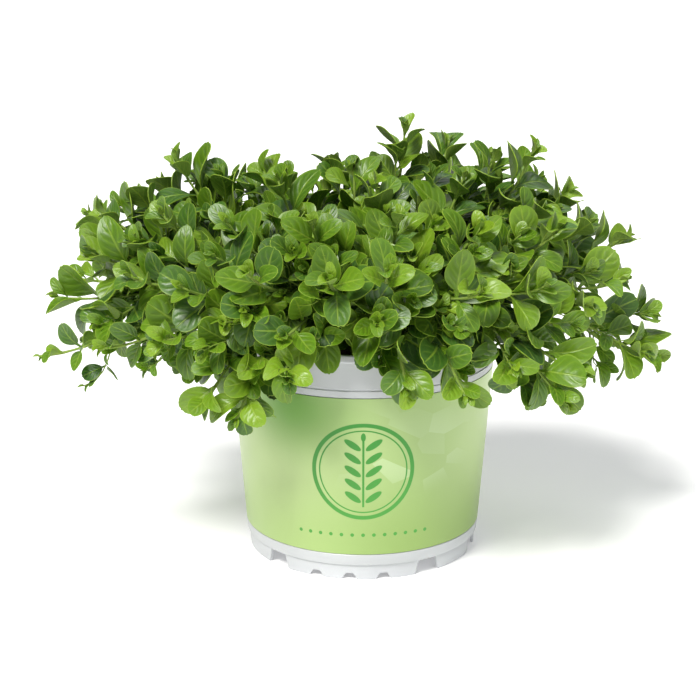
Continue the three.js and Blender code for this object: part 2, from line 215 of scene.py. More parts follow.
PRIME = 2147483647  # the scattered numbers are remainders of it


def scatter(*place):
    """A repeatable number from -1 to 1 for each place on the plant."""
    state = 17
    for part in place:
        state = (state * 48271 + part * 7919 + 11) % PRIME
    for _ in range(3):
        state = (state * 16807) % PRIME
    return 2 * state / PRIME - 1


def chance(*place):
    """A repeatable number from 0 to 1."""
    return (scatter(*place) + 1) / 2


def varied(*place):
    """A repeatable factor near 1, by which the lengths of like things differ."""
    return 1 + VARIATION * scatter(*place)


def ease(low, high, value):
    """0 below low, 1 above high, and a smooth rise between."""
    share = min(max((value - low) / (high - low), 0.0), 1.0)
    return share * share * (3 - 2 * share)


def blend(first, second, share):
    return first + (second - first) * share


# ---- settings


def plain_setting(name, description, default, **more):
    return FloatProperty(name=name, description=description, default=default, **more)


def length_setting(name, description, default):
    return plain_setting(name, description, default, unit="LENGTH")


def share_setting(name, description, default):
    return plain_setting(name, description, default, subtype="FACTOR", min=0.0, max=1.0)


def color_setting(name, description, default):
    return FloatVectorProperty(
        name=name, description=description, default=default, subtype="COLOR", size=3, min=0.0, max=1.0
    )


class OreganoPotSettings(PropertyGroup):
    plastic_color: color_setting("Plastic", "Colour of the moulded pot", (0.585, 0.6, 0.625))
    plastic_roughness: share_setting("Roughness", "How matt the plastic is", 0.34)
    height: length_setting("Height", "Height of the pot", POT_HIGH.z)
    lip_radius: length_setting("Lip Radius", "Outer radius of the rolled lip", (POT_HIGH.x - POT_LOW.x) / 2)
    steps: IntProperty(name="Steps", description="Faces round the pot", default=360, min=36)


class OreganoSleeveSettings(PropertyGroup):
    light_color: color_setting("Light Green", "Colour towards the sides of the print", (0.57, 0.735, 0.32))
    deep_color: color_setting("Deep Green", "Colour right of the middle of the print", (0.37, 0.52, 0.185))
    foot_color: color_setting("Foot Green", "Colour towards the foot of the print", (0.255, 0.4, 0.085))
    # the soft dark patch is a painted shadow of the foliage over the upper left of the print
    foliage_shadow_color: color_setting("Foliage Shadow", "Colour of the soft dark patch", (0.11, 0.31, 0.012))
    pale_color: color_setting("Pale Facets", "Colour of the faint facets", (0.62, 0.76, 0.47))
    ink_color: color_setting("Ink", "Colour of the ornament at its top", (0.012, 0.25, 0.01))
    light_ink_color: color_setting("Light Ink", "Colour of the ornament at its foot", (0.05, 0.32, 0.033))
    roughness: share_setting("Roughness", "How matt the printed film is", 0.36)
    ring_radius: length_setting("Ring Radius", "Radius of the printed ring", 22.0 * MM)


class OreganoMixSettings(PropertyGroup):
    dark_color: color_setting("Dark Mix", "Colour of the damp peat", (0.022, 0.014, 0.009))
    dry_color: color_setting("Dry Mix", "Colour of the dry fibres", (0.09, 0.055, 0.032))
    lump_height: length_setting("Lumps", "Height of the lumps on top of the mix", 1.6 * MM)
    chips: IntProperty(name="Chips", description="Loose bits of bark and perlite", default=150, min=0)


class OreganoPlantSettings(PropertyGroup):
    young_color: color_setting("Young Leaf", "Colour of the leaves at a tip", (0.205, 0.34, 0.018))
    grown_color: color_setting("Grown Leaf", "Colour of a full-grown leaf", (0.108, 0.222, 0.006))
    # darker than an old leaf is: this colour is also painted shade for the old leaves far back inside the
    # plant
    old_and_shaded_color: color_setting("Old Leaf and Shade", "Colour of the oldest leaves", (0.018, 0.062, 0.003))
    blue_color: color_setting("Blue Leaf", "Colour of the leaves of a bluer green", (0.036, 0.108, 0.018))
    under_color: color_setting("Underside", "Colour under a leaf", (0.2, 0.3, 0.05))
    # pale: the veins' own colour, and on the margins and rims partly a painted highlight of light through
    # the leaf's edge
    vein_and_highlight_color: color_setting("Veins and Edge Highlight", "Colour of the midrib and the margin", (0.31, 0.45, 0.045))
    stem_color: color_setting("Stem", "Colour of the green stems", (0.22, 0.33, 0.05))
    slimness: share_setting("Slimness", "Width of a blade over its length", 0.57)
    thickness: length_setting("Blade Thickness", "Thickness of a leaf 20 mm long", 0.36 * MM)
    stem_radius: length_setting("Stem Radius", "Half the width of a stem at its foot", 1.05 * MM)
    tip_radius: length_setting("Tip Radius", "Half the width of a stem at its tip", 0.5 * MM)


class OreganoStageSettings(PropertyGroup):
    floor_color: color_setting("Floor", "Colour of the floor", (0.93, 0.93, 0.93))
    floor_glow: share_setting("Floor Glow", "How much light the floor gives off", 0.26)
    sky_strength: plain_setting("Sky", "Strength of the soft light all round", 0.05)
    key_strength: plain_setting("Key", "Strength of the main light", 3.95)
    fill_strength: plain_setting("Fill", "Strength of the side light", 0.7)
    back_strength: plain_setting("Back", "Strength of the light behind", 0.9)
    camera_distance: length_setting("Distance", "From the camera to its target", 905.4 * MM)
    camera_height: length_setting("Target Height", "Height of the camera's target", 92.4 * MM)
    camera_side: length_setting("Target Side", "How far right of the pot the camera looks", -6.66 * MM)
    camera_pitch: plain_setting("Pitch", "How far the camera looks down", 0.286, subtype="ANGLE")
    camera_lens: plain_setting("Lens", "Focal length", 102.0, subtype="DISTANCE_CAMERA")


# ---- meshes and pieces


def new_mesh(name, bm):
    """A bmesh as a mesh."""
    mesh = bpy.data.meshes.new(name)
    bm.to_mesh(mesh)
    bm.free()
    return mesh


def new_object(name, data):
    """A mesh, light or camera as an object in the scene."""
    made = bpy.data.objects.new(name, data)
    bpy.context.scene.collection.objects.link(made)
    return made


def new_solid(name, bm, materials=()):
    """A bmesh as an object in the scene."""
    mesh = new_mesh(name, bm)
    for material in materials:
        mesh.materials.append(material)
    return new_object(name, mesh)


def new_piece(name, bm, materials, node):
    """A bmesh as a piece of the plant or its pot, in place of a solid."""
    piece = new_solid(name, bm, materials)
    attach(piece, "root")
    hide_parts(node)
    return piece


def shade_smooth(bm, crease_degrees):
    """Smooth shading everywhere but across the edges that turn by more than the crease."""
    crease = radians(crease_degrees)
    for face in bm.faces:
        face.smooth = True
    for edge in bm.edges:
        edge.smooth = edge.calc_face_angle(0.0) < crease


def turned(bm, profile, steps, angle=tau):
    """Spins a profile of (radius, height) points about the pot's axis, from the +X side round by +Y."""
    verts = [bm.verts.new(POT_AXIS + Vector((radius, 0.0, height))) for radius, height in profile]
    geom = verts + [bm.edges.new(ends) for ends in zip(verts, verts[1:])]
    closed = isclose(angle, tau)
    bmesh.ops.spin(bm, geom=geom, cent=POT_AXIS, axis=UP, angle=angle, steps=steps, use_merge=closed)
    bmesh.ops.remove_doubles(bm, verts=bm.verts, dist=WELD)
    bmesh.ops.recalc_face_normals(bm, faces=bm.faces)


def angle_from_front(point):
    """Degrees round the pot's axis from its front, -Y, towards +X."""
    return degrees(atan2(point.x - POT_AXIS.x, POT_AXIS.y - point.y))


def wall_radius(height):
    return WALL_AT_SLEEVE_BOTTOM + WALL_TAPER * (height - SLEEVE_BOTTOM)


class Finish:
    """A material being painted: short calls for the nodes that feed its one Principled shader."""

    def __init__(self, name, sockets):
        self.material = bpy.data.materials.new(name)
        self.material.use_nodes = True
        self.tree = self.material.node_tree
        self.shader = self.tree.nodes["Principled BSDF"]
        for socket, value in sockets.items():
            self.set(socket, value)

    def set(self, socket, value):
        """Sets a socket of the shader, or feeds it from a node."""
        self.feed(self.shader.inputs[socket], value)

    def feed(self, socket, value):
        if isinstance(value, bpy.types.NodeSocket):
            self.tree.links.new(value, socket)
        elif socket.type == "RGBA" and len(value) == 3:
            socket.default_value = (*value, 1.0)
        else:
            socket.default_value = value

    def node(self, kind, sockets, output=0, **settings):
        made = self.tree.nodes.new("ShaderNode" + kind)
        for name, value in settings.items():
            setattr(made, name, value)
        for name, value in sockets.items():
            self.feed(made.inputs[name], value)
        return made.outputs[output]

    def attribute(self, name):
        return self.node("Attribute", {}, "Fac", attribute_name=name)

    def map_point(self, name):
        """The two coordinates of a UV map."""
        mapped = self.node("UVMap", {}, uv_map=name)
        parts = self.tree.nodes.new("ShaderNodeSeparateXYZ")
        self.feed(parts.inputs[0], mapped)
        return parts.outputs[0], parts.outputs[1]

    def math(self, operation, first, second=0.0, third=0.0):
        return self.node("Math", {0: first, 1: second, 2: third}, operation=operation)

    def chain(self, operation, first, *others):
        """One number of many, by the same operation over and over."""
        for other in others:
            first = self.math(operation, first, other)
        return first

    def times(self, *values):
        return self.chain("MULTIPLY", *values)

    def most(self, *values):
        return self.chain("MAXIMUM", *values)

    def apart(self, first, second):
        return self.math("ABSOLUTE", self.math("SUBTRACT", first, second))

    def repeat(self, value, pitch, ahead, middle):
        """A value that starts again at every pitch, ahead by so much and counted from the middle."""
        again = self.math("FLOORED_MODULO", self.math("ADD", value, ahead), pitch)
        return self.math("SUBTRACT", again, middle)

    def hypot(self, first, second):
        squares = self.math("MULTIPLY_ADD", first, first, self.math("POWER", second, 2.0))
        return self.math("SQRT", squares)

    def rise(self, value, low, high):
        """0 below low, 1 above high, and a smooth rise between; it falls where low is above high."""
        sockets = {"Value": value, "From Min": low, "From Max": high}
        return self.node("MapRange", sockets, interpolation_type="SMOOTHSTEP")

    def span(self, value, low, high):
        """0 to 1 turned into low to high."""
        return self.node("MapRange", {"Value": value, "To Min": low, "To Max": high})

    def mix(self, share, first, second, blend_type="MIX"):
        return self.node("Mix", {0: share, 6: first, 7: second}, 2, data_type="RGBA", blend_type=blend_type)

    def layers(self, color, *layers):
        """A colour under layers, each the share of it that shows and its own colour."""
        for share, over in layers:
            color = self.mix(share, color, over)
        return color

    def noise(self, scale, detail=2.0, roughness=0.5):
        """Soft random patches, so many to a metre."""
        where = self.node("TexCoord", {}, "Object")
        sockets = {"Vector": where, "Scale": scale, "Detail": detail, "Roughness": roughness}
        return self.node("TexNoise", sockets)

    def bump(self, height, strength, distance, **under):
        return self.node("Bump", {"Height": height, "Strength": strength, "Distance": distance, **under})

    def ellipse(self, x, y, centre, half_size, turn, edge):
        """1 inside an ellipse, 0 outside, with an edge of that share of its size."""
        away = [self.math("SUBTRACT", value, middle) for value, middle in zip((x, y), centre)]
        turns = (cos(turn), sin(turn)), (-sin(turn), cos(turn))
        first, second = (
            self.math("MULTIPLY_ADD", away[0], across / half, self.math("MULTIPLY", away[1], along / half))
            for (across, along), half in zip(turns, half_size)
        )
        return self.rise(self.hypot(first, second), 1.0, 1.0 - edge)

    def finished(self, color, roughness, normal=None):
        """The material, with these on its shader."""
        self.set("Base Color", color)
        self.set("Roughness", roughness)
        if normal is not None:
            self.set("Normal", normal)
        return self.material


# ---- the pot


def from_lobe_middle(turn):
    """Degrees from the middle of the nearest lobe, at so many degrees round from the front."""
    period = 360.0 / LOBES
    return abs((turn - LOBE_TURN + period / 2) % period - period / 2)


def foot_height_at(from_lobe):
    """How high the lower edge of the foot skirt is: 0 on lobes and lugs, up in notches and arches."""
    arch = ease(LOBE_HALF, LOBE_HALF + 1.5 * SLOPE, from_lobe) * ease(LUG_FROM, LUG_FROM - SLOPE, from_lobe)
    away = min(from_lobe, abs(from_lobe - NOTCH_PITCH))
    notch = min(max((NOTCH_HALF + SLOPE / 2 - away) / SLOPE, 0.0), 1.0)
    return max(arch * ARCH_HEIGHT, notch * NOTCH_HEIGHT)


def pot_profile(pot):
    """(radius, height) points from the middle of the floor's underside round to its upper face."""
    foot = FOOT_HEIGHT
    floor = foot + FLOOR_THICKNESS
    skirt = FOOT_RADIUS - SKIRT
    sleeve_low, sleeve_high = SLEEVE_BOTTOM - SLEEVE_GAP, SLEEVE_TOP + SLEEVE_GAP
    top, lip = pot.height, pot.lip_radius

    def wall(height, out=0.0, up=0.0):
        """A point on the wall, or so many millimetres out and up from there."""
        return wall_radius(height), height, out, up

    def band(share):
        """A point on the smooth, slightly hollow band, at a share of its height."""
        return wall(blend(GROOVE, LIP_LINE, share), -BAND_HOLLOW * sin(pi * share))

    # Each point as a radius and a height, and how many millimetres out and up it is from there.
    points = (
        (0.0, foot, 0.0, 0.0),
        (skirt, foot, -1.2, 0.0),
        (skirt, foot, 0.0, -0.8),
        (skirt, 0.0, 0.0, 0.3),
        (skirt, 0.0, 0.3, 0.0),
        (FOOT_RADIUS, 0.0, -0.4, 0.0),
        (FOOT_RADIUS, 0.0, -0.05, 0.35),
        (FOOT_RADIUS, 0.6 * foot, 0.15, 0.0),
        wall(foot, -LEDGE / MM),
        wall(foot, -0.25, 0.1),
        wall(foot, 0.0, 0.5),
        wall(sleeve_low, 0.0, -0.25),
        wall(sleeve_low, -0.2),
        wall(sleeve_low, -SLEEVE_RECESS),
        wall(sleeve_high, -SLEEVE_RECESS),
        wall(sleeve_high, -0.2),
        wall(sleeve_high, 0.0, 0.25),
        wall(GROOVE, 0.0, -0.5),
        wall(GROOVE, -0.45, -0.15),
        wall(GROOVE, -0.45, 0.2),
        wall(GROOVE, -0.05, 0.6),
        band(0.25),
        band(0.5),
        band(0.75),
        wall(LIP_LINE, 0.0, -0.3),
        (lip, LIP_LINE, -0.3, 0.1),
        (lip, LIP_LINE, 0.0, 0.5),
        (lip, top, 0.0, -0.8),
        (lip, top, -0.2, -0.25),
        (lip, top, -0.6, 0.0),
        (lip, top, -1.5, 0.0),
        (lip, top, -1.95, -0.3),
        wall(top - MM, -WALL / MM),
        wall(floor + MM, -WALL / MM),
        wall(floor, -WALL / MM - 1.0),
        (0.0, floor, 0.0, 0.0),
    )
    return [(radius + out * MM, height + up * MM) for radius, height, out, up in points]


def shape_foot(bm):
    """Cuts the arches and notches into the foot skirt and swells its lugs, by moving its vertices."""
    for vert in bm.verts:
        out = vert.co - POT_AXIS
        out.z = 0.0
        if out.length < FOOT_RADIUS - SKIRT - SKIRT_NEAR or vert.co.z > FOOT_HEIGHT - 0.1 * MM:
            continue
        from_lobe = from_lobe_middle(angle_from_front(vert.co))
        vert.co.z = blend(foot_height_at(from_lobe), FOOT_HEIGHT, vert.co.z / FOOT_HEIGHT)
        if out.length > FOOT_RADIUS - SKIRT_NEAR:
            on_lug = ease(LUG_FROM - LUG_EDGE, LUG_FROM + LUG_EDGE, from_lobe)
            swell = on_lug * LUG_SWELL * ease(0.0, LUG_SWELL_HEIGHT, vert.co.z)
            vert.co += out.normalized() * LEDGE * swell


def drain_cutter():
    """Short rods where the drain holes go through the floor."""
    bm = bmesh.new()
    rod = {"radius1": DRAIN_RADIUS, "radius2": DRAIN_RADIUS, "depth": 4 * FLOOR_THICKNESS}
    for hole in range(DRAINS):
        angle = radians(DRAIN_TURN + 360.0 / DRAINS * hole)
        spot = POT_AXIS + Vector((sin(angle), -cos(angle), 0.0)) * DRAIN_CIRCLE
        spot.z = FOOT_HEIGHT + FLOOR_THICKNESS / 2
        bmesh.ops.create_cone(bm, cap_ends=True, segments=32, matrix=Matrix.Translation(spot), **rod)
    return new_solid("drain_cutter", bm)


def white_plastic(pot):
    """Smooth white polypropylene with a faint mould texture and a little dust."""
    soft = {"Subsurface Weight": 0.08, "Subsurface Scale": 2.0 * MM, "Subsurface Radius": (1.0, 1.0, 1.0)}
    paint = Finish("white_plastic", soft)
    dusty = tuple(0.93 * part for part in pot.plastic_color)
    color = paint.mix(paint.rise(paint.noise(14.0, 3.0), 0.42, 0.72), pot.plastic_color, dusty)
    scuffs = paint.noise(260.0, 4.0)
    roughness = paint.span(scuffs, pot.plastic_roughness - 0.05, pot.plastic_roughness + 0.1)
    return paint.finished(color, roughness, paint.bump(paint.noise(900.0), 0.12, 0.08 * MM))


class OREGANO_OT_build_pot(Operator):
    """Builds the white nursery pot with its lobed foot"""

    bl_idname = "oregano.build_pot"
    bl_label = "Build Pot"

    def execute(self, context):
        pot = context.scene.oregano_pot
        bm = bmesh.new()
        turned(bm, pot_profile(pot), pot.steps)
        shape_foot(bm)
        shade_smooth(bm, CREASE)
        piece = new_piece("nursery_pot", bm, [white_plastic(pot)], "pot")
        cutter = drain_cutter()
        drains = piece.modifiers.new("drains", "BOOLEAN")
        drains.operation = "DIFFERENCE"
        drains.solver = "EXACT"
        drains.object = cutter
        context.view_layer.objects.active = piece
        with context.temp_override(object=piece, active_object=piece):
            bpy.ops.object.modifier_apply(modifier=drains.name)
        bpy.data.objects.remove(cutter)
        return {"FINISHED"}


# ---- the printed sleeve

SEAM = 1.6 * MM / WALL_AT_SLEEVE_BOTTOM  # the gap at the back, in radians
SLEEVE_STEPS = 240

# Millimetres on the print.
DEEPEST, DEEP_REACH = 22.0, 62.0  # where the ground is deepest, right of the front, and how far that fades
RING_MIDDLE = 40.0  # above the foot of the print
INNER_RING_INSIDE = 2.6
SPRIG_PITCH = 6.2  # from one pair of the sprig's leaves to the next
DOT_PITCH, DOT_RADIUS = 5.0, 0.95
DOTS_HIGH, DOTS_END = 9.5, 32.5


def green_wash(paint, x, y, sleeve):
    """The ground of the print: greens that deepen in the middle and towards the foot, pale facets, and a
    painted shadow of the foliage.
    """
    to_middle = paint.rise(paint.apart(x, DEEPEST), DEEP_REACH, 0.0)
    to_right = paint.rise(paint.math("MULTIPLY_ADD", y, 0.35, x), -20.0, 75.0)
    to_foot = paint.times(paint.rise(y, 50.0, 0.0), paint.span(to_right, 0.55, 0.9))
    where = paint.node("CombineXYZ", {0: x, 1: paint.times(y, 1.4)})
    cells = paint.node("TexVoronoi", {"Vector": where, "Scale": 0.075}, "Color", voronoi_dimensions="2D")
    facets = paint.rise(paint.node("SeparateColor", {0: cells}), 0.35, 0.8)
    around_ring = paint.ellipse(x, y, (18.0, 50.0), (46.0, 26.0), 0.0, 0.7)
    # a painted shadow of the foliage: a soft dark patch on the upper left of the print
    foliage_shadow = paint.ellipse(x, y, (-32.0, 68.0), (42.0, 33.0), 0.0, 1.0)
    return paint.layers(
        sleeve.light_color,
        (to_middle, sleeve.deep_color),
        (to_foot, sleeve.foot_color),
        (paint.times(facets, around_ring, 0.38), sleeve.pale_color),
        (paint.times(foliage_shadow, 0.95), sleeve.foliage_shadow_color),
    )


def ringed_sprig(paint, x, y, ring_radius):
    """1 on the ornament: two rings round a sprig, and a row of dots under them."""
    high = paint.math("SUBTRACT", y, RING_MIDDLE)
    from_centre = paint.hypot(x, high)
    off_ring = paint.apart(from_centre, ring_radius)
    off_inner = paint.apart(from_centre, ring_radius - INNER_RING_INSIDE)
    rings = paint.most(paint.rise(off_ring, 1.05, 0.8), paint.rise(off_inner, 0.4, 0.25))

    side = paint.math("ABSOLUTE", x)
    above = paint.math("ABSOLUTE", high)
    step = paint.repeat(high, SPRIG_PITCH, 7.5 * SPRIG_PITCH, 0.45 * SPRIG_PITCH)
    leaf = paint.ellipse(side, step, (4.6, 0.6), (4.5, 1.55), 0.62, 0.1)
    sprig_end = 2.5 * SPRIG_PITCH
    leaves = paint.times(leaf, paint.rise(above, sprig_end, sprig_end - 0.1))
    stalk = paint.times(paint.rise(side, 0.55, 0.4), paint.rise(above, 17.0, 16.7))
    bud = paint.ellipse(x, high, (0.0, 16.4), (1.1, 2.1), 0.0, 0.1)

    dot_across = paint.repeat(x, DOT_PITCH, DOT_PITCH / 2, DOT_PITCH / 2)
    dot = paint.ellipse(dot_across, y, (0.0, DOTS_HIGH), (DOT_RADIUS, DOT_RADIUS), 0.0, 0.2)
    dots = paint.times(dot, paint.rise(side, DOTS_END + 0.1, DOTS_END - 0.1))
    return paint.most(rings, paint.most(leaves, stalk, bud), dots)


def printed_film(sleeve):
    """Satin film with a green wash and a plain ringed sprig in darker ink."""
    paint = Finish("printed_film", {"Coat Weight": 0.15, "Coat Roughness": 0.25})
    around, up = paint.map_point("print")
    girth = tau * (WALL_AT_SLEEVE_BOTTOM + WALL_AT_SLEEVE_TOP) / 2
    x = paint.times(paint.math("SUBTRACT", around, 0.5), girth / MM)  # from the front, in millimetres
    y = paint.times(up, (SLEEVE_TOP - SLEEVE_BOTTOM) / MM)
    ground = green_wash(paint, x, y, sleeve)
    ink = paint.mix(paint.rise(y, 62.0, 16.0), sleeve.ink_color, sleeve.light_ink_color)
    marks = ringed_sprig(paint, x, y, sleeve.ring_radius / MM)
    color = paint.mix(paint.times(marks, 0.96), ground, ink)
    grain = paint.span(paint.noise(1500.0, 1.0), 0.985, 1.015)
    speckle = paint.node("CombineColor", {0: grain, 1: grain, 2: grain})
    color = paint.mix(1.0, color, speckle, "MULTIPLY")
    roughness = paint.span(paint.noise(120.0, 3.0), sleeve.roughness - 0.03, sleeve.roughness + 0.07)
    return paint.finished(color, roughness, paint.bump(paint.noise(60.0), 0.06, 0.3 * MM))


class OREGANO_OT_wrap_sleeve(Operator):
    """Wraps the printed film round the pot, with its seam at the back"""

    bl_idname = "oregano.wrap_sleeve"
    bl_label = "Wrap Sleeve"

    def execute(self, context):
        bm = bmesh.new()
        heights = (SLEEVE_BOTTOM, SLEEVE_BOTTOM + MM, SLEEVE_TOP - MM, SLEEVE_TOP)
        turned(bm, [(wall_radius(height), height) for height in heights], SLEEVE_STEPS, tau - SEAM)
        for face in bm.faces:
            out = face.calc_center_median() - POT_AXIS
            if face.normal.dot(Vector((out.x, out.y, 0.0))) < 0:
                face.normal_flip()
        seam_to_back = Matrix.Rotation(pi / 2 + SEAM / 2, 3, "Z")
        bmesh.ops.rotate(bm, verts=bm.verts, cent=POT_AXIS, matrix=seam_to_back)
        bmesh.ops.solidify(bm, geom=bm.faces[:], thickness=SLEEVE_THICKNESS)
        layer = bm.loops.layers.uv.new("print")
        for face in bm.faces:
            for loop in face.loops:
                point = loop.vert.co
                around = 0.5 + angle_from_front(point) / 360.0
                up = (point.z - SLEEVE_BOTTOM) / (SLEEVE_TOP - SLEEVE_BOTTOM)
                loop[layer].uv = (around, up)
        shade_smooth(bm, CREASE)
        film = printed_film(context.scene.oregano_sleeve)
        new_piece("printed_sleeve", bm, [film], "sleeve_label")
        return {"FINISHED"}


# ---- the potting mix

MIX_EDGE = (MIX_HIGH.x - MIX_LOW.x) / 2
MIX_STEPS, MIX_RINGS = 120, 26  # faces round the mix and across it
CROWN_FROM = 0.55  # how far out the crown starts to fall, over the mix's radius
LUMP_SCALE = 140.0  # lumps to a metre
FIBRE_COLOR = (0.16, 0.1, 0.06)
BARK_SIZE, BARK_SHAPE = 1.5 * MM, (2.0, 0.9, 0.45, 1.0)
PERLITE_SIZE, PERLITE_SHAPE = 0.9 * MM, (1.0, 0.9, 0.85, 1.0)
PERLITE_EVERY = 5  # one grain of perlite to so many chips
CHIP_SEED, CHIP_KEY = 7, 501
CHIP_ROUGHNESS = 0.25  # how far a chip's corners stray, over its size
CHIP_TILT = 0.4
BARK_COLORS = ((0.16, 0.09, 0.045), (0.035, 0.02, 0.012))
PERLITE_COLORS = ((0.75, 0.74, 0.7), (0.5, 0.48, 0.43))


def peat(mix):
    """Damp dark peat with dry fibres."""
    paint = Finish("peat", {"Specular IOR Level": 0.2})
    lumps = paint.noise(180.0, 6.0, 0.7)
    fibres = paint.noise(700.0, 4.0)
    shade = paint.mix(paint.rise(lumps, 0.45, 0.7), mix.dark_color, mix.dry_color)
    color = paint.mix(paint.rise(fibres, 0.62, 0.74), shade, FIBRE_COLOR)
    relief = paint.bump(paint.math("ADD", lumps, fibres), 0.8, 0.8 * MM)
    return paint.finished(color, paint.span(lumps, 0.8, 1.0), relief)


def speckled(name, light, dark, roughness):
    """A small chip's finish, in two tones."""
    paint = Finish(name, {"Specular IOR Level": 0.3})
    grain = paint.noise(500.0, 4.0)
    color = paint.mix(paint.rise(grain, 0.4, 0.65), dark, light)
    dullness = paint.span(grain, roughness, min(roughness + 0.2, 1.0))
    return paint.finished(color, dullness, paint.bump(grain, 0.5, 0.3 * MM))


def mix_surface_height(point):
    """The height of the mix at a point, crowned in the middle and lumpy."""
    out = Vector((point.x - POT_AXIS.x, point.y - POT_AXIS.y))
    crown = MIX_HIGH.z - MIX_CROWN * ease(CROWN_FROM, 1.0, out.length / MIX_EDGE)
    lumps = noise.fractal(Vector((point.x, point.y, 0.3)) * LUMP_SCALE, 1.0, 2.0, 4)
    return crown - 0.5 * MM + bpy.context.scene.oregano_mix.lump_height * lumps * 0.6


def add_chip(bm, number, edge):
    """One loose bit on the mix: bark, or now and then a white grain of perlite."""
    angle = pi * scatter(number, 1, CHIP_KEY)
    radius = edge * sqrt(chance(number, 2, CHIP_KEY)) * 0.97
    spot = POT_AXIS + Vector((cos(angle), sin(angle), 0.0)) * radius
    white = number % PERLITE_EVERY == 0
    size = (PERLITE_SIZE if white else BARK_SIZE) * (1 + 0.5 * scatter(number, 3, CHIP_KEY))
    spot.z = mix_surface_height(spot) + 0.25 * size
    turn = Matrix.Rotation(pi * scatter(number, 4, CHIP_KEY), 4, "Z")
    tilt = Matrix.Rotation(CHIP_TILT * scatter(number, 5, CHIP_KEY), 4, "X")
    stretch = Matrix.Diagonal(PERLITE_SHAPE if white else BARK_SHAPE)
    place = Matrix.Translation(spot) @ turn @ tilt @ stretch
    made = bmesh.ops.create_icosphere(bm, subdivisions=1, radius=size, matrix=place)
    for vert in made["verts"]:
        vert.co += CHIP_ROUGHNESS * size * noise.noise_vector(vert.co * 900.0)
    for face in {face for vert in made["verts"] for face in vert.link_faces}:
        face.material_index = 2 if white else 1


class OREGANO_OT_fill_pot(Operator):
    """Fills the pot with potting mix"""

    bl_idname = "oregano.fill_pot"
    bl_label = "Fill Pot"

    def execute(self, context):
        mix = context.scene.oregano_mix
        bottom, rim = MIX_LOW.z, MIX_HIGH.z - MIX_CROWN
        profile = [(0.0, bottom), (wall_radius(bottom) - WALL - 0.6 * MM, bottom)]
        profile += [(MIX_EDGE * ring / MIX_RINGS, rim) for ring in range(MIX_RINGS, -1, -1)]
        bm = bmesh.new()
        turned(bm, profile, MIX_STEPS)
        for vert in bm.verts:
            if vert.co.z > bottom + MM:
                vert.co.z = mix_surface_height(vert.co)
        noise.seed_set(CHIP_SEED)  # or the chips would differ from run to run
        for number in range(mix.chips):
            add_chip(bm, number, MIX_EDGE - 1.5 * MM)
        shade_smooth(bm, 50.0)
        bark = speckled("bark", *BARK_COLORS, 0.75)
        perlite = speckled("perlite", *PERLITE_COLORS, 0.8)
        new_piece("peat_fill", bm, [peat(mix), bark, perlite], "potting_mix")
        return {"FINISHED"}


# ---- stems


class Stalk:
    """A stem or twig as a cubic curve, in millimetres from the pot's axis. stretches is how many straight
    lengths its solid has, and back is measured from the tip."""

    DIVISIONS = 200
    NUDGE = 0.0001

    def __init__(self, controls, stretches, foot, key):
        self.controls = controls
        self.stretches = stretches
        self.foot = foot
        self.key = key
        samples = [self.at(step / self.DIVISIONS) for step in range(self.DIVISIONS + 1)]
        self.travelled = [0.0]
        for before, after in zip(samples, samples[1:]):
            self.travelled.append(self.travelled[-1] + (after - before).length)
        self.length = self.travelled[-1]
        self.joints = [self.at(self.share(step / stretches)) for step in range(stretches + 1)]
        start, end = controls[0], controls[-1]
        self.level = Vector((start.y - end.y, end.x - start.x, 0.0)).normalized()

    def at(self, t):
        a, b, c, d = self.controls
        s = 1 - t
        return a * s**3 + b * (3 * s * s * t) + c * (3 * s * t * t) + d * t**3

    def share(self, along):
        """The curve's own parameter at a share of its length."""
        target = along * self.length
        before = min(bisect_right(self.travelled, target) - 1, self.DIVISIONS - 1)
        low, high = self.travelled[before], self.travelled[before + 1]
        return (before + (target - low) / (high - low)) / self.DIVISIONS

    def heading(self, t):
        low, high = max(t - self.NUDGE, 0.0), min(t + self.NUDGE, 1.0)
        return (self.at(high) - self.at(low)).normalized()

    def smooth_station(self, back):
        """Point and heading on the curve itself."""
        t = self.share(max(1 - back / self.length, 0.0))
        return self.at(t), self.heading(t)

    def solid_station(self, back):
        """Point and heading on the solid's straight lengths."""
        along = 1 - back / self.length
        joint = min(int(along * self.stretches), self.stretches - 1)
        point = self.joints[joint].lerp(self.joints[joint + 1], along * self.stretches - joint)
        return point, self.heading(self.share(along))


def across_at(heading, level, angle):
    """The direction across a heading at an angle round it, counted from the level direction."""
    side = (level - heading * level.dot(heading)).normalized()
    return side * cos(angle) + heading.cross(side) * sin(angle)


def main_stem(tip, key):
    """A main stem: up out of the potting mix, then over and outwards to its tip."""
    x, y, z, climb = tip
    across, along = x / CANOPY_HALF_WIDTH, y / CANOPY_HALF_DEPTH
    outward = hypot(across, along)
    radius = CROWN_RADIUS * outward * (1 + (CANOPY_MIDDLE - z) / ROOT_REACH)
    root = Vector((across / outward * radius, along / outward * radius, ROOT_HEIGHT))
    end = Vector((x, y, z))
    out = Vector((x, y, 0)).normalized()
    heading = out * cos(radians(climb)) + UP * sin(radians(climb))
    span = (end - root).length
    rise = max(LEAST_RISE, RISE_SHARE * span)
    first = root + out * OUTWARD_PULL * rise + UP * UPWARD_PULL * rise
    second = end - heading * TIP_PULL * span
    return Stalk((root, first, second, end), STEM_STRETCHES, 0.5, key)


def side_twig(stem, side):
    """A side twig that the solids have too, which leaves the stem at a joint."""
    point, heading = stem.solid_station(TWIG_BACK)
    across = across_at(heading, stem.level, radians(TWIG_SWING * scatter(stem.key, 90)))
    length = TWIG_LENGTH * varied(stem.key, side, 91)
    lean = radians(TWIG_LEAN)
    end = point + heading * length * cos(lean) + across * side * length * sin(lean)
    controls = (point, point.lerp(end, 1 / 3), point.lerp(end, 2 / 3), end)
    return Stalk(controls, 1, 0.0, stem.key + (100 if side < 0 else 200))


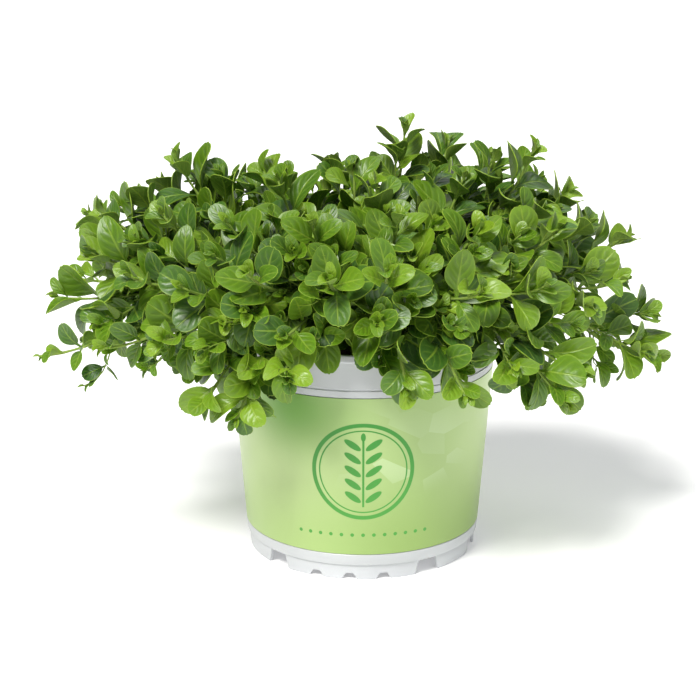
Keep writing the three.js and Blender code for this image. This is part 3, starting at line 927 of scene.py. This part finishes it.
def arched(twig, stem):
    """The same twig as it is drawn: it leaves the smooth stem and bows a little."""
    start, heading = stem.smooth_station(TWIG_BACK)
    end = twig.controls[-1]
    straight = end - start
    first = start + straight * 0.3 + heading * 0.06 * straight.length
    second = end - straight * 0.3 - UP * 0.05 * straight.length
    return Stalk((start, first, second, end), 1, twig.foot, twig.key)


def offshoot_stalk(stem, offshoot, side, swing, key):
    """A side shoot that only the drawn plant has."""
    start, heading = stem.smooth_station(offshoot.back)
    turn = 90 * offshoot.number + OFFSHOOT_SWING * scatter(key, 92) + swing
    across = across_at(heading, stem.level, radians(turn)) * side
    length = offshoot.length * varied(key, 93)
    lean = radians(offshoot.lean + OFFSHOOT_LEAN_SWING * scatter(key, 94))
    end = start + heading * length * cos(lean) + across * length * sin(lean)
    first = start + heading * 0.15 * length + across * 0.3 * length
    second = end - (heading * 0.35 + UP * 0.1) * length
    return Stalk((start, first, second, end), 4, 0.0, key)


# ---- where the leaves go

# A leaf in millimetres: its foot and tip, the upper face's direction, its width, its age from 0 to 1, and
# the key of its own small differences.
Leaf = namedtuple("Leaf", "foot tip face width age key")


def light_at(point):
    """Where the light comes from at a point."""
    return Vector(
        (
            LIGHT_FROM_OUTSIDE * point.x / CANOPY_HALF_WIDTH,
            LIGHT_FROM_OUTSIDE * point.y / CANOPY_HALF_DEPTH - LIGHT_FROM_FRONT,
            LIGHT_FROM_ABOVE,
        )
    )


def leaf_place(stalk, pair, side, size, turn):
    """A leaf's foot, direction, upper face and length on the solid."""
    swing, lift = turn
    point, heading = stalk.solid_station(pair.back)
    key, number = stalk.key, pair.number
    angle = radians(90 * number + PAIR_SWING * scatter(key, number, 1) + swing)
    across = across_at(heading, stalk.level, angle)
    lean = radians(pair.lean + LEAF_LEAN_SWING * scatter(key, number, side, 2) - lift)
    direction = heading * cos(lean) + across * side * sin(lean)
    face = (heading - direction * heading.dot(direction)).normalized()
    light = light_at(point)
    light -= direction * light.dot(direction)
    face = (face * (1 - TOWARDS_LIGHT) + light * TOWARDS_LIGHT).normalized()
    length = size * pair.length * varied(key, number, side, 3)
    return point + across * side * stalk.foot, direction, face, length


def drawn_leaf(drawn, pair, side, place, older):
    """The drawn leaf: its foot on the smooth stem, its tip where the solid's is, and a little rolled."""
    point, direction, face, length = place
    smooth, _ = drawn.smooth_station(pair.back)
    foot = smooth.lerp(point, FOOT_SHARE)
    key = drawn.key * 31 + pair.number * 7 + side
    roll = radians(LEAF_ROLL * scatter(key, 12))
    face = face * cos(roll) + direction.cross(face) * sin(roll)
    slimness = bpy.context.scene.oregano_plant.slimness
    width = length * slimness * varied(key, 11) * blend(SMALLEST_SLIMMER, 1.0, ease(4, 13, length))
    age = pair.back / FULL_AGE_BACK + 0.1 + older + AGE_SCATTER * scatter(drawn.key, pair.number, 7)
    return Leaf(foot, point + direction * length, face, width, min(max(age, 0.0), 1.0), key)


KITE_FACES = ((0, 1, 2), (0, 2, 3))
KITE_HALF_WIDTH = 0.44  # of a leaf's outline, over its width
RIBBON_LENGTH = 12.0
STEM_KEPT_CLEAR, OFFSHOOT_KEPT_CLEAR = 0.6, 0.5  # half the width that other leaves keep off
TWIG_MATCH, LEAF_MATCH = 1.2, 0.15  # how near a corner of the solid lies to where the layout has it


class Thicket:
    """The outlines of all leaves so far, sorted into cells, and the pot, to keep new leaves clear."""

    CELL = 14.0

    def __init__(self, barrier):
        self.barrier = barrier
        self.cells = defaultdict(list)

    def cells_of(self, outline):
        ways = [[int(part // self.CELL) for part in parts] for parts in zip(*outline)]
        return product(*(range(min(way), max(way) + 1) for way in ways))

    def add(self, outline):
        for cell in self.cells_of(outline):
            self.cells[cell].append(outline)

    def crosses(self, outline):
        mine = BVHTree.FromPolygons(outline, KITE_FACES)
        if self.barrier.overlap(mine):
            return True
        near = {id(other): other for cell in self.cells_of(outline) for other in self.cells[cell]}
        points = [point for other in near.values() for point in other]
        starts = range(0, len(points), 4)
        faces = [[start + corner for corner in face] for start in starts for face in KITE_FACES]
        return bool(near) and bool(BVHTree.FromPolygons(points, faces).overlap(mine))


def pot_barrier():
    """The pot and its sleeve, in millimetres from the pot's axis, as something leaves can't pass."""
    points, faces = [], []
    for name in ("pot", "sleeve_label"):
        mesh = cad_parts[name].data
        start = len(points)
        points += [(vertex.co - POT_AXIS) / MM for vertex in mesh.vertices]
        faces += [[start + index for index in face.vertices] for face in mesh.polygons]
    return BVHTree.FromPolygons(points, faces)


def leaf_outline(leaf):
    """A kite inside the leaf's blade, clear of its foot."""
    direction = leaf.tip - leaf.foot
    across = leaf.face.cross(direction.normalized()) * leaf.width * KITE_HALF_WIDTH
    middle = leaf.foot + direction * 0.52
    return [leaf.foot + direction * 0.2, middle + across, leaf.tip, middle - across]


def stalk_outlines(stalk, radius, clear_foot=0.0):
    """Crossed ribbons along a stem, which leaves keep clear of."""
    steps = max(int(stalk.length / RIBBON_LENGTH), 2)
    bare = min(clear_foot / stalk.length, 0.9)
    points = [stalk.at(stalk.share(blend(bare, 1.0, step / steps))) for step in range(steps + 1)]
    outlines = []
    for start, end in zip(points, points[1:]):
        heading = (end - start).normalized()
        for angle in (0.0, pi / 2):
            across = across_at(heading, stalk.level, angle) * radius
            outlines.append([start - across, start + across, end + across, end - across])
    return outlines


class Shoot:
    """A stem with its twigs and leaves, laid out to match its solid."""

    def __init__(self, tip, number, thicket):
        self.number = number
        self.node = f"shoot_{number:02d}"
        self.thicket = thicket
        self.leaves = []
        self.stem = main_stem(tip, number)
        self.leaf_size = SMALL_LEAVED.get(number, 1.0)
        self.fullness = ease(0.3, 0.9, self.leaf_size)  # how many of the soft leaves grow
        self.twigs = []  # each as the solid has it and as it is drawn
        self.offshoots = []
        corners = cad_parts[self.node].data.vertices
        self.corners = kdtree.KDTree(len(corners))
        for vertex in corners:
            self.corners.insert((vertex.co - POT_AXIS) / MM, vertex.index)
        self.corners.balance()
        for side in (-1, 1):
            twig = side_twig(self.stem, side)
            if self.has_corner(twig.controls[-1], TWIG_MATCH):
                self.twigs.append((twig, arched(twig, self.stem)))
        for _, drawn in [(self.stem, self.stem)] + self.twigs:
            for outline in stalk_outlines(drawn, STEM_KEPT_CLEAR):
                thicket.add(outline)
        self.add_solid_leaves(self.stem, self.stem, SOLID_STEM_PAIRS)
        for twig, drawn in self.twigs:
            self.add_solid_leaves(twig, drawn, SOLID_TWIG_PAIRS)

    def has_corner(self, point, within):
        """Whether the solid has a corner at a point."""
        return self.corners.find(point)[2] < within

    def add_leaf(self, solid, drawn, pair, side, older, fits):
        """Adds a leaf in the first turn that fits, if one does."""
        for turn in LEAF_TURNS:
            place = leaf_place(solid, pair, side, self.leaf_size, turn)
            leaf = drawn_leaf(drawn, pair, side, place, older)
            outline = leaf_outline(leaf)
            if fits(place, outline):
                self.leaves.append(leaf)
                self.thicket.add(outline)
                return

    def add_solid_leaves(self, solid, drawn, pairs):
        """The leaves that the solid has, each turned as it is there."""

        def on_solid(place, outline):
            point, direction, face, length = place
            corner = point + direction * length + face * SOLID_LEAF_HALF_THICKNESS
            return self.has_corner(corner, LEAF_MATCH)

        for pair, side in product(pairs, (-1, 1)):
            self.add_leaf(solid, drawn, pair, side, 0.0, on_solid)

    def add_soft_leaves(self, solid, drawn, pairs, bare_foot, older=0.0):
        """Leaves that only the drawn plant has, where nothing is in the way."""

        def in_the_open(place, outline):
            return not self.thicket.crosses(outline)

        for pair, side in product(pairs, (-1, 1)):
            above_foot = pair.back <= solid.length - bare_foot
            if above_foot and chance(solid.key, pair.number, side, 5) <= pair.share * self.fullness:
                self.add_leaf(solid, drawn, pair, side, older, in_the_open)

    def add_offshoot(self, offshoot, side, pairs, swings, clear_foot, bare_foot):
        """A side shoot with its leaves, in the first swing where nothing is in the way."""
        key = self.number + 1000 * int(offshoot.back) + (500 if side < 0 else 0)
        if chance(key, 95) > self.fullness:
            return
        for swing in swings:
            stalk = offshoot_stalk(self.stem, offshoot, side, swing, key)
            outlines = stalk_outlines(stalk, OFFSHOOT_KEPT_CLEAR, clear_foot)
            if not any(self.thicket.crosses(outline) for outline in outlines):
                self.offshoots.append(stalk)
                for outline in outlines:
                    self.thicket.add(outline)
                self.add_soft_leaves(stalk, stalk, pairs, bare_foot, 0.4 * offshoot.back / FULL_AGE_BACK)
                return

    def fill_out(self):
        """Adds the leaves and side shoots that are too slight for the solids."""
        self.add_soft_leaves(self.stem, self.stem, SOFT_STEM_PAIRS, BARE_FOOT)
        for twig, drawn in self.twigs:
            self.add_soft_leaves(twig, drawn, SOFT_TWIG_PAIRS, TWIG_BARE_FOOT)
        leafy = (LEAFY_TWIG_PAIRS, (0, 30, -30), 4.0, TWIG_BARE_FOOT)
        bud = (BUD_PAIRS, (0,), 2.0, 0.0)
        for offshoots, kind in ((LEAFY_TWIGS, leafy), (BUDS, bud)):
            for offshoot, side in product(offshoots, (-1, 1)):
                if offshoot.back <= self.stem.length - BARE_FOOT:
                    self.add_offshoot(offshoot, side, *kind)


# ---- leaf blades

LEAF_UNDER, LEAF_EDGE, STEM = 1, 2, 3  # the shoots' materials after the leaves' upper skin
STALK_HALF_WIDTH = 0.045  # of a leaf's own thin stalk, over the width of its blade
TIP_ROUNDING = 0.025  # how far the corners of a blade's last row lie back, over its length
# The blades: a name and how thick it is, then how many rows it has, how much of its length is stalk, how
# much wider it is near its foot, and how pointed. The last one is for small leaves.
BLADES = (
    ("broad_blade", 1.0, 12, 0.13, 0.14, 1.3),
    ("oval_blade", 1.0, 12, 0.15, -0.02, 1.22),
    ("spoon_blade", 1.0, 12, 0.17, -0.16, 1.1),
    ("small_blade", 1.6, 5, 0.06, 0.0, 1.35),
)
TRAITS = ("age", "tone")  # what a leaf's finish knows of it: how old, and how yellow or blue its green


def blade_row(row, rows, stalk_share, skew, pointed):
    """How far along a blade one of its rows is, and half its width there. skew widens it near its foot, and
    a pointedness above 1 narrows both ends."""
    if row == 0:
        return 0.0, STALK_HALF_WIDTH
    turn = pi * blend(0.07, 0.955, (row - 1) / (rows - 1))
    along = (1 - cos(turn)) / 2
    half = 0.5 * sin(turn) ** pointed * (1 + skew * cos(turn))
    return blend(stalk_share, 1.0, along), max(half, STALK_HALF_WIDTH)


def blade_mesh(name, rows, stalk_share, skew, pointed, thickness):
    """A flat blade of unit length and width with a UV map: its upper skin, then its underside and rim."""
    bm = bmesh.new()
    layer = bm.loops.layers.uv.new("blade")
    for trait in TRAITS:
        bm.verts.layers.float.new(trait)
    bmesh.ops.create_grid(bm, x_segments=rows, y_segments=2, size=0.5)
    for vert in bm.verts:
        row = round((vert.co.x + 0.5) * rows)
        across = 2 * vert.co.y
        along, half = blade_row(row, rows, stalk_share, skew, pointed)
        for loop in vert.link_loops:
            loop[layer].uv = (along, (across + 1) / 2)
        rounding = TIP_ROUNDING * across * across if row == rows else 0.0
        vert.co = (along - rounding, across * half, 0.0)
    skin = len(bm.faces)
    bmesh.ops.solidify(bm, geom=bm.faces[:], thickness=thickness)
    bm.faces.ensure_lookup_table()
    for face in bm.faces[skin:]:
        face.material_index = LEAF_UNDER if face.index < 2 * skin else LEAF_EDGE
    bm.normal_update()
    shade_smooth(bm, 45.0)
    return new_mesh(name, bm)


def bend_blade(verts, leaf):
    """Arches, folds, twists and waves a flat blade, keeping its foot and tip in place."""
    key = leaf.key
    young = 1 - ease(0.1, 0.5, leaf.age)
    fold = blend(0.07 + 0.13 * scatter(key, 21), 0.22, young)
    arch = 0.06 + 0.13 * scatter(key, 23)
    twist = 0.8 * scatter(key, 24)
    sway = 0.08 * scatter(key, 25)
    wave = 0.03 * chance(key, 26)
    phase = pi * scatter(key, 27)
    for vert in verts:
        x, y, z = vert.co
        bow = 4 * x * (1 - x)
        out = 2 * abs(y)
        lift = bow * (arch + fold * out)
        lift += wave * out * sin(8.0 * x + phase) + twist * (x - 0.4) * y
        vert.co = (x, y + sway * bow, z + lift)


def leaf_matrix(leaf):
    """Puts a blade of unit length along X, with its face up, in the leaf's place in metres."""
    length = (leaf.tip - leaf.foot).length
    direction = (leaf.tip - leaf.foot) / length
    side = leaf.face.cross(direction).normalized()
    columns = (direction * length, side * leaf.width, direction.cross(side) * length)
    turn = Matrix(columns).transposed().to_4x4()
    return Matrix.Translation(POT_AXIS) @ Matrix.Scale(MM, 4) @ Matrix.Translation(leaf.foot) @ turn


def add_leaf(bm, blade, leaf):
    """Adds one leaf to a shoot's mesh."""
    start = len(bm.verts)
    bm.from_mesh(blade)
    bm.verts.ensure_lookup_table()
    verts = bm.verts[start:]
    bend_blade(verts, leaf)
    bmesh.ops.transform(bm, matrix=leaf_matrix(leaf), verts=verts)
    traits = (leaf.age, chance(leaf.key, 41))
    for trait, value in zip(TRAITS, traits):
        layer = bm.verts.layers.float[trait]
        for vert in verts:
            vert[layer] = value


# ---- stems as meshes


def stalk_stations(stalk, steps):
    """Matrices along a stalk, each with X to its level side and Z along it, in millimetres."""
    for step in range(steps + 1):
        t = stalk.share(step / steps)
        heading = stalk.heading(t)
        across = across_at(heading, stalk.level, 0.0)
        columns = (across, heading.cross(across), heading)
        yield Matrix.Translation(stalk.at(t)) @ Matrix(columns).transposed().to_4x4()


STATION_SPACING = 5  # millimetres
SQUARE_SIDES = 8  # a square with its corners rounded
CORNER_INSET = 0.84  # how far out every other corner of it lies
JOINT_SWELL, JOINT_REACH = 0.35, 3.5  # how much thicker a stem is at its joints, and how far from them
NO_JOINT = 99.0
TAPER_POWER = 0.8


def add_stalk(bm, stalk, foot_radius, tip_radius, swellings, sides=SQUARE_SIDES):
    """Adds a square stalk with rounded corners, swollen a little at its joints, closed at both ends."""
    steps = max(int(stalk.length / STATION_SPACING), 3)
    to_metres = Matrix.Translation(POT_AXIS) @ Matrix.Scale(MM, 4)
    ring = bmesh.ops.create_circle(bm, cap_ends=True, segments=sides, radius=1.0)["verts"]
    if sides == SQUARE_SIDES:
        for vert in ring[::2]:
            vert.co *= CORNER_INSET
    made = set(ring)
    edges = list({edge for vert in ring for edge in vert.link_edges})
    last = Matrix.Identity(4)
    for step, station in enumerate(stalk_stations(stalk, steps)):
        back = stalk.length * (1 - step / steps)
        radius = blend(foot_radius, tip_radius, (step / steps) ** TAPER_POWER)
        near = min((abs(back - joint) for joint in swellings), default=NO_JOINT)
        radius *= 1 + JOINT_SWELL * (1 - ease(0.0, JOINT_REACH, near))
        place = to_metres @ station @ Matrix.Scale(radius / MM, 4)
        if step:
            grown = bmesh.ops.extrude_edge_only(bm, edges=edges)["geom"]
            ring = [item for item in grown if isinstance(item, bmesh.types.BMVert)]
            edges = [item for item in grown if isinstance(item, bmesh.types.BMEdge)]
            made.update(ring)
        bmesh.ops.transform(bm, matrix=place @ last.inverted(), verts=ring)
        last = place
    bmesh.ops.contextual_create(bm, geom=edges)
    faces = list({face for vert in made for face in vert.link_faces})
    bmesh.ops.recalc_face_normals(bm, faces=faces)
    for face in faces:
        face.material_index = STEM
        face.smooth = True


# ---- leaf and stem finishes

SOFT_GREEN = {"Subsurface Weight": 0.15, "Subsurface Scale": 1.2 * MM, "Subsurface Radius": (0.6, 1.0, 0.2)}
BROWNED_STEM = (0.2, 0.16, 0.07)


def vein_pattern(paint):
    """(midrib, side veins, quilting between the veins, margin) over a blade's UV map."""
    along, across = paint.map_point("blade")
    side = paint.math("ABSOLUTE", paint.math("MULTIPLY_ADD", across, 2.0, -1.0))
    midrib = paint.rise(side, paint.span(along, 0.14, 0.07), paint.span(along, 0.05, 0.015))
    forward = paint.math("POWER", side, 1.25)
    vein_row = paint.times(paint.math("MULTIPLY_ADD", forward, -0.42, along), 4.7)
    apart = paint.apart(paint.math("FRACT", vein_row), 0.5)
    fades = ((side, 0.95, 0.55), (along, 0.1, 0.22), (along, 0.98, 0.8))
    inner = paint.times(*(paint.rise(*fade) for fade in fades))
    side_veins = paint.times(paint.rise(apart, 0.4, 0.49), inner)
    quilting = paint.times(paint.rise(apart, 0.5, 0.1), inner)
    return midrib, side_veins, quilting, paint.rise(side, 0.92, 0.985)


def leaf_upper(plant):
    """The satin upper skin of a leaf, green by age and darkened far back as painted shade, with pale veins
    and a pale margin that is partly a painted highlight.
    """
    down = {"Sheen Weight": 0.04, "Sheen Roughness": 0.3, "Sheen Tint": (0.85, 1.0, 0.75)}
    paint = Finish("leaf_upper", {**SOFT_GREEN, **down, "Specular IOR Level": 0.5})
    age, tone = (paint.attribute(trait) for trait in TRAITS)
    midrib, side_veins, quilting, margin = vein_pattern(paint)
    mottle = paint.noise(650.0, 3.0)
    between = paint.times(quilting, paint.times(paint.rise(age, 0.1, 0.5), 0.3))
    # the pale margin in these marks is partly the leaf's paler edge and partly a painted edge highlight
    veins = paint.most(paint.times(midrib, 0.48), paint.times(side_veins, 0.17), paint.times(margin, 0.5))
    color = paint.layers(
        plant.young_color,
        (paint.rise(age, 0.0, 0.36), plant.grown_color),
        # painted shade: the oldest leaves, far back from the tips inside the plant, darken more than their
        # age alone would make them
        (paint.rise(age, 0.4, 0.9), plant.old_and_shaded_color),
        (paint.times(paint.rise(tone, 0.7, 1.0), 0.55), plant.young_color),
        (paint.times(paint.rise(tone, 0.36, 0.04), 0.72), plant.blue_color),
        (paint.times(paint.rise(mottle, 0.45, 0.8), 0.08), plant.vein_and_highlight_color),
        (between, plant.old_and_shaded_color),
        (veins, plant.vein_and_highlight_color),
    )
    sunk = paint.math("SUBTRACT", quilting, paint.times(midrib, 1.5))
    relief = paint.bump(mottle, 0.15, 0.12 * MM, Normal=paint.bump(sunk, 0.45, 0.3 * MM))
    return paint.finished(color, paint.span(mottle, 0.32, 0.46), relief)


def leaf_under(plant):
    """The paler, duller underside of a leaf, with its veins standing out."""
    paint = Finish("leaf_under", {**SOFT_GREEN, "Specular IOR Level": 0.2, "Sheen Weight": 0.05})
    midrib, side_veins, _, _ = vein_pattern(paint)
    color = paint.layers(
        plant.under_color,
        (paint.rise(paint.attribute("age"), 0.1, 0.9), plant.grown_color),
        (paint.most(paint.times(midrib, 0.8), paint.times(side_veins, 0.5)), plant.vein_and_highlight_color),
    )
    fuzz = paint.noise(1100.0, 3.0)
    raised = paint.bump(paint.most(midrib, side_veins), 0.6, 0.3 * MM)
    relief = paint.bump(fuzz, 0.2, 0.1 * MM, Normal=raised)
    return paint.finished(color, paint.span(fuzz, 0.55, 0.75), relief)


def leaf_edge(plant):
    """The thin rim of a leaf, painted pale: partly its paler edge, partly a painted highlight of light
    through the edge.
    """
    paint = Finish("leaf_edge", {**SOFT_GREEN, "Specular IOR Level": 0.3})
    rim = tuple(blend(part, pale, 0.45) for part, pale in zip(plant.grown_color, plant.vein_and_highlight_color))
    return paint.finished(paint.mix(paint.rise(paint.noise(900.0), 0.3, 0.7), rim, plant.vein_and_highlight_color), 0.5)


def green_stem(plant):
    """A downy green stem, browned in places."""
    paint = Finish("green_stem", {"Specular IOR Level": 0.25, "Sheen Weight": 0.1})
    fuzz = paint.noise(1600.0, 3.0)
    color = paint.layers(
        plant.stem_color,
        (paint.times(paint.rise(paint.noise(60.0), 0.5, 0.8), 0.4), BROWNED_STEM),
        (paint.rise(fuzz, 0.5, 0.75), plant.vein_and_highlight_color),
    )
    return paint.finished(color, paint.span(fuzz, 0.5, 0.7), paint.bump(fuzz, 0.35, 0.15 * MM))


SMALL_LEAF = 7.5  # millimetres: shorter leaves have the small blade
LARGE_SHAPES = 2.999  # just under the number of other blades
TWIG_JOINTS = (8.0, 14.5, 22.0)


class OREGANO_OT_grow_shoots(Operator):
    """Grows every shoot: its square stem, its side twigs and its leaves"""

    bl_idname = "oregano.grow_shoots"
    bl_label = "Grow Shoots"

    def execute(self, context):
        plant = context.scene.oregano_plant
        thicket = Thicket(pot_barrier())
        shoots = [Shoot(tip, number, thicket) for number, tip in enumerate(STEM_TIPS, 1)]
        for shoot in shoots:
            if not shoot.leaves:
                raise RuntimeError(f"{shoot.node} has no leaves: the layout doesn't match the solids")
            shoot.fill_out()
        thin = plant.thickness / (20 * MM)
        *large, small = (blade_mesh(name, *shape, thin * thicker) for name, thicker, *shape in BLADES)
        materials = [leaf_upper(plant), leaf_under(plant), leaf_edge(plant), green_stem(plant)]
        joints = [pair.back for pair in SOLID_STEM_PAIRS + SOFT_STEM_PAIRS[2:]]
        for shoot in shoots:
            bm = bmesh.new()
            for leaf in shoot.leaves:
                shape = large[int(LARGE_SHAPES * chance(leaf.key, 31))]
                add_leaf(bm, small if (leaf.tip - leaf.foot).length <= SMALL_LEAF else shape, leaf)
            add_stalk(bm, shoot.stem, plant.stem_radius, plant.tip_radius, joints)
            for _, twig in shoot.twigs:
                add_stalk(bm, twig, plant.tip_radius, 0.6 * plant.tip_radius, TWIG_JOINTS)
            for stalk in shoot.offshoots:
                add_stalk(bm, stalk, 0.9 * plant.tip_radius, 0.5 * plant.tip_radius, (), sides=5)
            new_piece(f"oregano_{shoot.node}", bm, materials, shoot.node)
        return {"FINISHED"}


# ---- the stage

FLOOR_HALF_SIZE = 6.0
SKY_COLOR = (0.93, 0.97, 1.0, 1.0)


def floor_paint(stage):
    """A matt white table with a faint glow of its own, which keeps the shadows pale."""
    glow = {"Emission Color": stage.floor_color, "Emission Strength": stage.floor_glow}
    paint = Finish("floor_paint", {"Specular IOR Level": 0.1, **glow})
    darker = tuple(0.985 * part for part in stage.floor_color)
    return paint.finished(paint.mix(paint.noise(3.0), stage.floor_color, darker), 0.9)


def add_soft_sun(name, turn, height, spread, strength, tint):
    """A broad far-off light: turn is from the front towards +X, all angles in degrees."""
    light = bpy.data.lights.new(name, "SUN")
    light.angle = radians(spread)
    light.energy = strength
    light.color = tint
    new_object(name, light).rotation_euler = (radians(90 - height), 0.0, radians(turn))


class OREGANO_OT_set_stage(Operator):
    """Lays the pale floor and sets the soft lights and the camera"""

    bl_idname = "oregano.set_stage"
    bl_label = "Set Stage"

    def execute(self, context):
        stage = context.scene.oregano_stage
        bm = bmesh.new()
        bmesh.ops.create_grid(bm, x_segments=1, y_segments=1, size=FLOOR_HALF_SIZE)
        floor = new_solid("floor", bm, [floor_paint(stage)])

        world = bpy.data.worlds.new("soft_sky")
        world.use_nodes = True
        sky = world.node_tree.nodes["Background"]
        sky.inputs["Color"].default_value = SKY_COLOR
        sky.inputs["Strength"].default_value = stage.sky_strength
        context.scene.world = world

        add_soft_sun("key_light", -32.0, 54.0, 22.0, stage.key_strength, (1.0, 0.985, 0.95))
        add_soft_sun("fill_light", 50.0, 30.0, 70.0, stage.fill_strength, (0.94, 0.97, 1.0))
        add_soft_sun("back_light", 160.0, 58.0, 50.0, stage.back_strength, (0.96, 0.98, 1.0))

        data = bpy.data.cameras.new("camera")
        data.lens = stage.camera_lens
        data.sensor_width = 36.0
        data.clip_start = 0.05
        camera = new_object("camera", data)
        target = POT_AXIS + Vector((stage.camera_side, 0.0, stage.camera_height))
        back = Vector((0.0, -cos(stage.camera_pitch), sin(stage.camera_pitch)))
        camera.location = target + back * stage.camera_distance
        camera.rotation_euler = (pi / 2 - stage.camera_pitch, 0.0, 0.0)
        context.scene.camera = camera
        context.scene.view_settings.view_transform = "Standard"
        return {"FINISHED"}


# ---- the add-on


class OREGANO_PT_panel(Panel):
    """Settings and steps of the potted oregano"""

    bl_idname = "OREGANO_PT_panel"
    bl_label = "Potted Oregano"
    bl_space_type = "VIEW_3D"
    bl_region_type = "UI"
    bl_category = "Oregano"

    def draw(self, context):
        for name, _, operator in STEPS:
            box = self.layout.box()
            settings = getattr(context.scene, name)
            for prop in settings.bl_rna.properties:
                if prop.identifier not in {"rna_type", "name"}:
                    box.prop(settings, prop.identifier)
            box.operator(operator.bl_idname)


STEPS = (
    ("oregano_pot", OreganoPotSettings, OREGANO_OT_build_pot),
    ("oregano_sleeve", OreganoSleeveSettings, OREGANO_OT_wrap_sleeve),
    ("oregano_mix", OreganoMixSettings, OREGANO_OT_fill_pot),
    ("oregano_plant", OreganoPlantSettings, OREGANO_OT_grow_shoots),
    ("oregano_stage", OreganoStageSettings, OREGANO_OT_set_stage),
)


def register():
    for name, settings, operator in STEPS:
        bpy.utils.register_class(settings)
        setattr(bpy.types.Scene, name, PointerProperty(type=settings))
        bpy.utils.register_class(operator)
    bpy.utils.register_class(OREGANO_PT_panel)


def unregister():
    bpy.utils.unregister_class(OREGANO_PT_panel)
    for name, settings, operator in reversed(STEPS):
        bpy.utils.unregister_class(operator)
        delattr(bpy.types.Scene, name)
        bpy.utils.unregister_class(settings)


def main():
    """Registers the add-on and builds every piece."""
    register()
    bpy.ops.oregano.build_pot()
    bpy.ops.oregano.wrap_sleeve()
    bpy.ops.oregano.fill_pot()
    bpy.ops.oregano.grow_shoots()
    bpy.ops.oregano.set_stage()
    bpy.context.view_layer.update()


if __name__ == "__main__":
    main()
